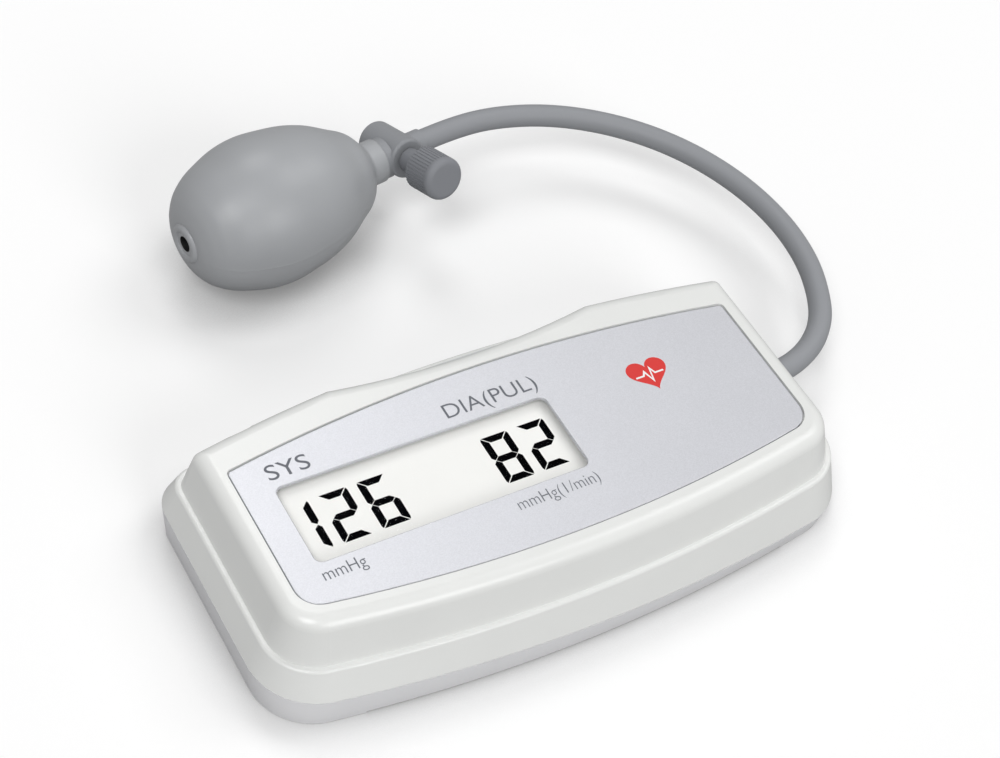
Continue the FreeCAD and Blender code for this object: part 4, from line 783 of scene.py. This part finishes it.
def ribbon(points, width):
    """The left and the right side of a line of even width through the points."""
    left, right = [], []
    for index, point in enumerate(points):
        here = Vector(point)
        before = Vector(points[index - 1]) if index else here
        after = Vector(points[index + 1]) if index < len(points) - 1 else here
        along = ((here - before).normalized() + (after - here).normalized()).normalized()
        side = Vector((-along.y, along.x))
        run = after - here if index < len(points) - 1 else here - before
        # A bend needs more width at its corner, but a very sharp one stays blunt.
        square = abs(side.dot(Vector((-run.y, run.x)).normalized()))
        left.append(here + side * width / 2 / max(sharpest, square))
        right.append(here - side * width / 2 / max(sharpest, square))
    return left, right


def on_plate(points):
    return [
        ((mark_x + mark_size * x) * mm, case_y + (mark_y + mark_size * y) * mm)
        for x, y in points
    ]


heart = bmesh.new()
slab(heart, on_plate(heart_outline()), plate_top, plate_top + ink_thickness)
red = finish("red_ink", from_srgb(214, 38, 32), 0.4, grain=4000, depth=0.2)
new_piece("heart_mark", kept(heart, "heart"), red, "monitor")
print("heart is", mark_size, "mm across")

# %% Print the pulse line
beat = [
    (-0.36, 0.02), (-0.16, 0.02), (-0.09, 0.13), (0.0, -0.17), (0.08, 0.19), (0.14, 0.02),
    (0.36, 0.02),
]
beat_width = 0.045
left_side, right_side = ribbon(beat, beat_width)
pulse = bmesh.new()
ring = left_side + list(reversed(right_side))
slab(pulse, on_plate(ring), plate_top + ink_thickness, plate_top + 2 * ink_thickness)
white = finish("white_ink", from_srgb(240, 240, 240), 0.5, grain=4000, depth=0.2)
new_piece("pulse_line", kept(pulse, "pulse"), white, "monitor")
print("beats drawn with", len(beat), "points")

# %% [markdown]
# ## Rules as node trees
# Some pieces follow a rule: the bulb is one outline turned round an axis, the screws repeat over a
# rectangle, and the ridges on the battery door repeat along a line. Geometry Nodes hold such a
# rule with its sizes as named inputs. Each tree is run on an empty object. Its result is kept as a
# plain mesh and the modifier is gone before the piece is used, so nothing depends on it later.

# %% Helpers for node trees
def rule(name, inputs):
    tree = bpy.data.node_groups.new(name, "GeometryNodeTree")
    for label, kind in inputs:
        tree.interface.new_socket(label, in_out="INPUT", socket_type=kind)
    tree.interface.new_socket("Geometry", in_out="OUTPUT", socket_type="NodeSocketGeometry")
    return tree, tree.nodes.new("NodeGroupInput"), tree.nodes.new("NodeGroupOutput")


def end_rule(tree, start, end, geometry):
    """Every tree ends the same way: real geometry, then its finish."""
    real = add_node(tree, "GeometryNodeRealizeInstances", Geometry=geometry)
    dressed = add_node(
        tree, "GeometryNodeSetMaterial", Geometry=real.outputs[0],
        Material=start.outputs["Finish"])
    tree.links.new(dressed.outputs[0], end.inputs["Geometry"])


def grown(name, tree, values):
    """Run a rule with the given sizes, and keep its result as a plain mesh."""
    holder = link(bpy.data.objects.new(name, bpy.data.meshes.new(name)))
    shape = holder.modifiers.new("shape", "NODES")
    shape.node_group = tree
    for item in tree.interface.items_tree:
        if item.item_type == "SOCKET" and item.in_out == "INPUT":
            shape[item.identifier] = values[item.name]
    drawn = holder.evaluated_get(bpy.context.evaluated_depsgraph_get())
    mesh = bpy.data.meshes.new_from_object(drawn)
    holder.modifiers.remove(shape)
    bpy.data.objects.remove(holder)
    return mesh


print("tree helpers ready")

# %% [markdown]
# ## Rubber bulb
# The bulb is moulded in two half moulds, which leave a hairline seam along it. It could be a CAD
# solid with a finish, but then it would have no seam. Here the outline is a curve from the inlet
# mouth round the outside to the neck. The rule lays a grid over it: one direction of the grid runs
# along the outline, and the other turns it round the axis. The steps of the turn lie closer
# together near the seam, where the surface rises by a few hundredths of a millimetre.

# %% Draw the bulb's outline
bulb_outline = [
    (12.2, 0.0), (12.2, 5.06), (0.35, 5.06), (0.0, 5.4), (0.0, 6.2), (0.707, 8.99),
    (2.894, 12.84), (6.494, 16.05), (12.474, 18.94), (22.119, 21.4), (32.279, 20.87),
    (42.824, 18.4), (50.99, 14.12), (55.105, 11.66), (57.42, 9.1), (59.5, 6.5), (61.5, 6.48),
    (63.9, 6.45), (64.3, 6.1), (64.3, 4.46), (55.6, 4.46), (55.6, 0.0),
]
smooth_part = range(4, 16)


def outline_curve(name, points, smooth):
    """A Bezier curve through the points, round where it is smooth and straight elsewhere."""
    line = bpy.data.curves.new(name, "CURVE")
    line.dimensions = "3D"
    line.resolution_u = 24
    spline = line.splines.new("BEZIER")
    spline.bezier_points.add(len(points) - 1)
    for index, (knot, (x, r)) in enumerate(zip(spline.bezier_points, points)):
        knot.co = (x * mm, r * mm, 0)
        before = "AUTO" if index in smooth and index > smooth[0] else "VECTOR"
        after = "AUTO" if index in smooth and index < smooth[-1] else "VECTOR"
        knot.handle_left_type = before
        knot.handle_right_type = after
    return link(bpy.data.objects.new(name, line))


bulb_line = outline_curve("bulb_outline", bulb_outline, smooth_part)
print("outline points:", len(bulb_outline))

# %% Rule for a turned piece
slowing = 0.44
outside_radius = 7 * mm
weld_distance = 0.001 * mm


def turned_piece():
    tree, start, end = rule("turned_piece", [
        ("Outline", "NodeSocketObject"), ("Steps Along", "NodeSocketInt"),
        ("Steps Round", "NodeSocketInt"), ("Seam Height", "NodeSocketFloat"),
        ("Seam Width", "NodeSocketFloat"), ("Finish", "NodeSocketMaterial"),
    ])
    given = start.outputs
    around = calculate(tree, "ADD", given["Steps Round"], 1)
    grid = add_node(
        tree, "GeometryNodeMeshGrid", Size_X=1.0, Size_Y=1.0, Vertices_X=given["Steps Along"],
        Vertices_Y=around)
    place = add_node(tree, "GeometryNodeInputPosition")
    share = add_node(tree, "ShaderNodeSeparateXYZ", Vector=place.outputs[0])
    along = calculate(tree, "ADD", share.outputs["X"], 0.5)
    turn = calculate(tree, "ADD", share.outputs["Y"], 0.5)
    # The turn is slowed near the seam, at its start and its middle, so that the steps crowd there.
    even = calculate(tree, "MULTIPLY", turn, 2 * math.pi)
    wave = calculate(tree, "SINE", calculate(tree, "MULTIPLY", turn, 4 * math.pi))
    angle = calculate(tree, "SUBTRACT", even, calculate(tree, "MULTIPLY", wave, slowing))
    outline = add_node(tree, "GeometryNodeObjectInfo", Object=given["Outline"])
    sample = add_node(tree, "GeometryNodeSampleCurve", {"mode": "FACTOR"}, Factor=along)
    tree.links.new(outline.outputs["Geometry"], sample.inputs["Curves"])
    spot = add_node(tree, "ShaderNodeSeparateXYZ", Vector=sample.outputs["Position"])
    # The seam is a low ridge: full height on the parting plane, nothing a seam's width away. Only
    # the outside has it, which is everything further from the axis than the mouth and the neck.
    sine = calculate(tree, "SINE", angle)
    off_plane = calculate(
        tree, "ABSOLUTE", calculate(tree, "MULTIPLY", sine, spot.outputs["Y"]))
    ridge = add_node(
        tree, "ShaderNodeMapRange", {"interpolation_type": "SMOOTHSTEP"}, Value=off_plane,
        From_Max=given["Seam Width"], To_Min=given["Seam Height"], To_Max=0.0)
    outside = calculate(tree, "GREATER_THAN", spot.outputs["Y"], outside_radius)
    lift = calculate(tree, "MULTIPLY", ridge.outputs["Result"], outside)
    radius = calculate(tree, "ADD", spot.outputs["Y"], lift)
    level = calculate(tree, "MULTIPLY", radius, calculate(tree, "COSINE", angle))
    height = calculate(tree, "MULTIPLY", radius, sine)
    turned_spot = add_node(
        tree, "ShaderNodeCombineXYZ", X=spot.outputs["X"], Y=level, Z=height)
    shaped = add_node(
        tree, "GeometryNodeSetPosition", Geometry=grid.outputs["Mesh"],
        Position=turned_spot.outputs[0])
    closed = add_node(
        tree, "GeometryNodeMergeByDistance", Geometry=shaped.outputs[0], Distance=weld_distance)
    smooth = add_node(tree, "GeometryNodeSetShadeSmooth", Geometry=closed.outputs[0])
    end_rule(tree, start, end, smooth.outputs[0])
    return tree


bulb_mesh = grown("bulb_shape", turned_piece(), {
    "Outline": bulb_line, "Steps Along": 300, "Steps Round": 144, "Seam Height": 0.07 * mm,
    "Seam Width": 0.45 * mm, "Finish": finishes["bulb_rubber"],
})
bpy.data.objects.remove(bulb_line)
print("bulb faces:", len(bulb_mesh.polygons))

# %% Put the bulb in its place
def outward(mesh):
    sheet = bmesh.new()
    sheet.from_mesh(mesh)
    bmesh.ops.recalc_face_normals(sheet, faces=sheet.faces)
    sheet.to_mesh(mesh)
    sheet.free()
    return mesh


bulb_mesh.transform(Matrix.Translation(bulb_end) @ Matrix.Rotation(bulb_turn, 4, "Z"))
bulb_piece = new_piece(
    "bulb_moulded", outward(bulb_mesh), finishes["bulb_rubber"], "monitor")
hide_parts("bulb")
solid_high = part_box("bulb")[1]
past_solid = [reach(bulb_mesh, axis)[1] - solid_high[axis] for axis in range(3)]
print("bulb box against the solid, mm:", [round(v / mm, 2) for v in past_solid])

# %% [markdown]
# ## Casing screws
# Four screws hold the two half casings together from below. A CAD screw has a plain hole for its
# driver. The real head is slightly domed and has a cross recess with sloping walls. One screw is
# drawn as a grid of rings whose height follows the dome and the cross. The rule then places it at
# the corners of the rectangle of the screw bosses.

# %% Draw one screw
head_radius, head_height = 2.7 * mm, 2.0 * mm
shank_radius, shank_length = 1.4 * mm, 16.3 * mm
tip_radius, tip_length = 0.5 * mm, 1.0 * mm
dome_rise, face_share = 0.35 * mm, 0.97
upper_edge, side_edge, lower_edge = 0.1 * mm, 0.25 * mm, 0.2 * mm
cross_half, cross_reach, cross_depth = 0.34 * mm, 1.55 * mm, 1.0 * mm
cross_slope, end_slope = 0.16 * mm, 2.5


def head_height_at(x, y):
    """The head's face over a point: a low dome with the cross cut into it."""
    r = math.hypot(x, y)
    dome = dome_rise * (1 - (r / head_radius) ** 2)
    narrow, far = min(abs(x), abs(y)), max(abs(x), abs(y))
    across = min(1.0, max(0.0, (cross_half + cross_slope - narrow) / cross_slope))
    along = min(1.0, max(0.0, (cross_reach - far) / (end_slope * cross_slope)))
    return dome - cross_depth * across * along


def one_screw(rings=26, steps=64):
    """Rings from the middle of the face out over the edge and along the shank to its tip."""
    sheet = bmesh.new()
    profile = [(head_radius * face_share * ring / rings, None) for ring in range(1, rings + 1)]
    profile += [
        (head_radius, -upper_edge), (head_radius, side_edge - head_height),
        (head_radius - lower_edge, -head_height), (shank_radius, -head_height),
        (shank_radius, -head_height - shank_length + tip_length),
        (tip_radius, -head_height - shank_length),
    ]
    made = []
    for r, z in profile:
        ring_line = []
        for step in range(steps):
            angle = 2 * math.pi * step / steps
            x, y = r * math.cos(angle), r * math.sin(angle)
            ring_line.append(sheet.verts.new((x, y, head_height_at(x, y) if z is None else z)))
        made.append(ring_line)
    middle = sheet.verts.new((0, 0, head_height_at(0, 0)))
    for step in range(steps):
        after = (step + 1) % steps
        sheet.faces.new((middle, made[0][step], made[0][after]))
        for inner, outer in zip(made, made[1:]):
            sheet.faces.new((inner[step], outer[step], outer[after], inner[after]))
    sheet.faces.new(list(reversed(made[-1])))
    return kept(sheet, "one_screw")


screw = link(bpy.data.objects.new("one_screw", one_screw()))
print("screw faces:", len(screw.data.polygons))

# %% Rule for pieces at the corners of a rectangle
def at_corners():
    """Every piece hangs head down, and each one is turned further, as real screws stop."""
    tree, start, end = rule("at_corners", [
        ("Pattern", "NodeSocketObject"), ("Spacing X", "NodeSocketFloat"),
        ("Spacing Y", "NodeSocketFloat"), ("Turn", "NodeSocketFloat"),
        ("Finish", "NodeSocketMaterial"),
    ])
    given = start.outputs
    corners = add_node(
        tree, "GeometryNodeMeshGrid", Size_X=given["Spacing X"], Size_Y=given["Spacing Y"],
        Vertices_X=2, Vertices_Y=2)
    order = add_node(tree, "GeometryNodeInputIndex")
    angle = calculate(tree, "MULTIPLY", order.outputs[0], given["Turn"])
    turn = add_node(tree, "ShaderNodeCombineXYZ", X=math.pi, Y=0.0, Z=angle)
    pattern = add_node(tree, "GeometryNodeObjectInfo", Object=given["Pattern"])
    placed = add_node(
        tree, "GeometryNodeInstanceOnPoints", Points=corners.outputs["Mesh"],
        Instance=pattern.outputs["Geometry"], Rotation=turn.outputs[0])
    end_rule(tree, start, end, placed.outputs[0])
    return tree


boxes_of_screws = [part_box(f"casing_screw_{index}") for index in (1, 2, 3, 4)]
screw_spots = [(low + high) / 2 for low, high in boxes_of_screws]
screw_middle = sum(screw_spots, Vector()) / 4
screw_foot = boxes_of_screws[0][0].z
screws_mesh = grown("screws_shape", at_corners(), {
    "Pattern": screw, "Spacing X": 2 * abs(screw_spots[0].x - screw_middle.x),
    "Spacing Y": 2 * abs(screw_spots[0].y - screw_middle.y), "Turn": 0.7,
    "Finish": finishes["steel"],
})
bpy.data.objects.remove(screw)
screws_mesh.transform(Matrix.Translation((screw_middle.x, screw_middle.y, screw_foot)))
screws = new_piece("casing_screws", screws_mesh, finishes["steel"], "monitor")
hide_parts(*[f"casing_screw_{index}" for index in (1, 2, 3, 4)])
print("screws at", [[round(v / mm, 1) for v in spot] for spot in screw_spots])

# %% [markdown]
# ## Grip ridges on the battery door
# The door is pushed with a thumb, so it has a few low ridges next to its groove. Each ridge is a
# short line with a round section that thins to nothing at both ends. The rule draws one ridge and
# repeats it along the door. Half of each ridge lies in the door, so no gap can show under it.

# %% Rule for ridges in a row
points_on_ridge, round_sides = 25, 16
taper_power, thinnest_squared = 8.0, 0.0004
first_ridge = 9.5 * mm


def ridges_in_a_row():
    tree, start, end = rule("ridges_in_a_row", [
        ("Count", "NodeSocketInt"), ("Spacing", "NodeSocketFloat"),
        ("Length", "NodeSocketFloat"), ("Radius", "NodeSocketFloat"),
        ("Finish", "NodeSocketMaterial"),
    ])
    given = start.outputs
    half = calculate(tree, "MULTIPLY", given["Length"], 0.5)
    left = add_node(tree, "ShaderNodeCombineXYZ", X=calculate(tree, "MULTIPLY", half, -1.0))
    right = add_node(tree, "ShaderNodeCombineXYZ", X=half)
    line = add_node(
        tree, "GeometryNodeCurvePrimitiveLine", Start=left.outputs[0], End=right.outputs[0])
    fine = add_node(
        tree, "GeometryNodeResampleCurve", Curve=line.outputs[0], Count=points_on_ridge)
    # The section stays nearly full along the ridge and thins quickly at both of its ends.
    share = add_node(tree, "GeometryNodeSplineParameter")
    centred = calculate(
        tree, "SUBTRACT", calculate(tree, "MULTIPLY", share.outputs["Factor"], 2.0), 1.0)
    taper = calculate(tree, "POWER", calculate(tree, "ABSOLUTE", centred), taper_power)
    left_over = calculate(tree, "SUBTRACT", 1.0, taper)
    thin = calculate(tree, "SQRT", calculate(tree, "MAXIMUM", left_over, thinnest_squared))
    section = add_node(
        tree, "GeometryNodeCurvePrimitiveCircle", {"mode": "RADIUS"}, Resolution=round_sides,
        Radius=given["Radius"])
    ridge = add_node(
        tree, "GeometryNodeCurveToMesh", Curve=fine.outputs[0],
        Profile_Curve=section.outputs[0], Scale=thin, Fill_Caps=True)
    step = add_node(tree, "ShaderNodeCombineXYZ", Y=given["Spacing"])
    row = add_node(
        tree, "GeometryNodeMeshLine", {"mode": "OFFSET"}, Count=given["Count"],
        Offset=step.outputs[0])
    placed = add_node(
        tree, "GeometryNodeInstanceOnPoints", Points=row.outputs[0],
        Instance=ridge.outputs[0])
    smooth = add_node(tree, "GeometryNodeSetShadeSmooth", Geometry=placed.outputs[0])
    end_rule(tree, start, end, smooth.outputs[0])
    return tree


door_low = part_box("battery_door")[0]
ridges_mesh = grown("ridges_shape", ridges_in_a_row(), {
    "Count": 6, "Spacing": 1.6 * mm, "Length": 20 * mm, "Radius": 0.4 * mm,
    "Finish": finishes["casing"],
})
ridges_mesh.transform(Matrix.Translation((0, door_low.y + first_ridge, door_low.z)))
new_piece("door_ridges", ridges_mesh, finishes["casing"], "door")
print("ridges, lowest at", round(reach(ridges_mesh, 2)[0] / mm, 2), "mm")

# %% [markdown]
# ## Mark on the start button
# The button at the back carries the usual mark for power, a ring with an open top and a short bar
# in it. It is printed in the same grey as the captions, so it is a thin flat ribbon. It is drawn
# flat and then turned to face backwards, leaned by the same angle as the button's face.

# %% Print the power mark
mark_radius, mark_line = 1.55, 0.32
mark_opening = math.radians(64)
bar_foot, bar_top = 0.4, 2.1
print_sunk, print_proud = 0.04 * mm, 0.03 * mm


def open_ring(steps=40):
    points = []
    for index in range(steps + 1):
        turn = math.pi / 2 + mark_opening / 2 + (2 * math.pi - mark_opening) * index / steps
        points.append((mark_radius * math.cos(turn), mark_radius * math.sin(turn)))
    return points


def print_layer(sheet, corners):
    slab(sheet, [(x * mm, y * mm) for x, y in corners], -print_sunk, print_proud)


def power_mark():
    sheet = bmesh.new()
    left, right = ribbon(open_ring(), mark_line)
    print_layer(sheet, left + list(reversed(right)))
    half = mark_line / 2
    print_layer(
        sheet, [(-half, bar_foot), (half, bar_foot), (half, bar_top), (-half, bar_top)])
    return kept(sheet, "power_mark")


print("ring points:", len(open_ring()))

# %% Lay the mark on the button's face
lean = math.radians(15.0)
face_spot = Vector((0, -8.435, 25.0)) * mm
facing = Matrix((
    (-1, 0, 0),
    (0, -math.sin(lean), math.cos(lean)),
    (0, math.cos(lean), math.sin(lean)),
)).to_4x4()
mark = power_mark()
mark.transform(Matrix.Translation(face_spot) @ facing)
new_piece("button_mark", mark, ink, "button")
button_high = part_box("start_button")[1]
print("mark reaches y", round(reach(mark, 1)[1] / mm, 2), "button box to",
      round(button_high.y / mm, 2))

# %% [markdown]
# ## Bring the scene up to date
# The view layer is updated once more after the last piece. The dressed object has to stay
# in the box of the solids.

# %% Update the view layer
bpy.context.view_layer.update()
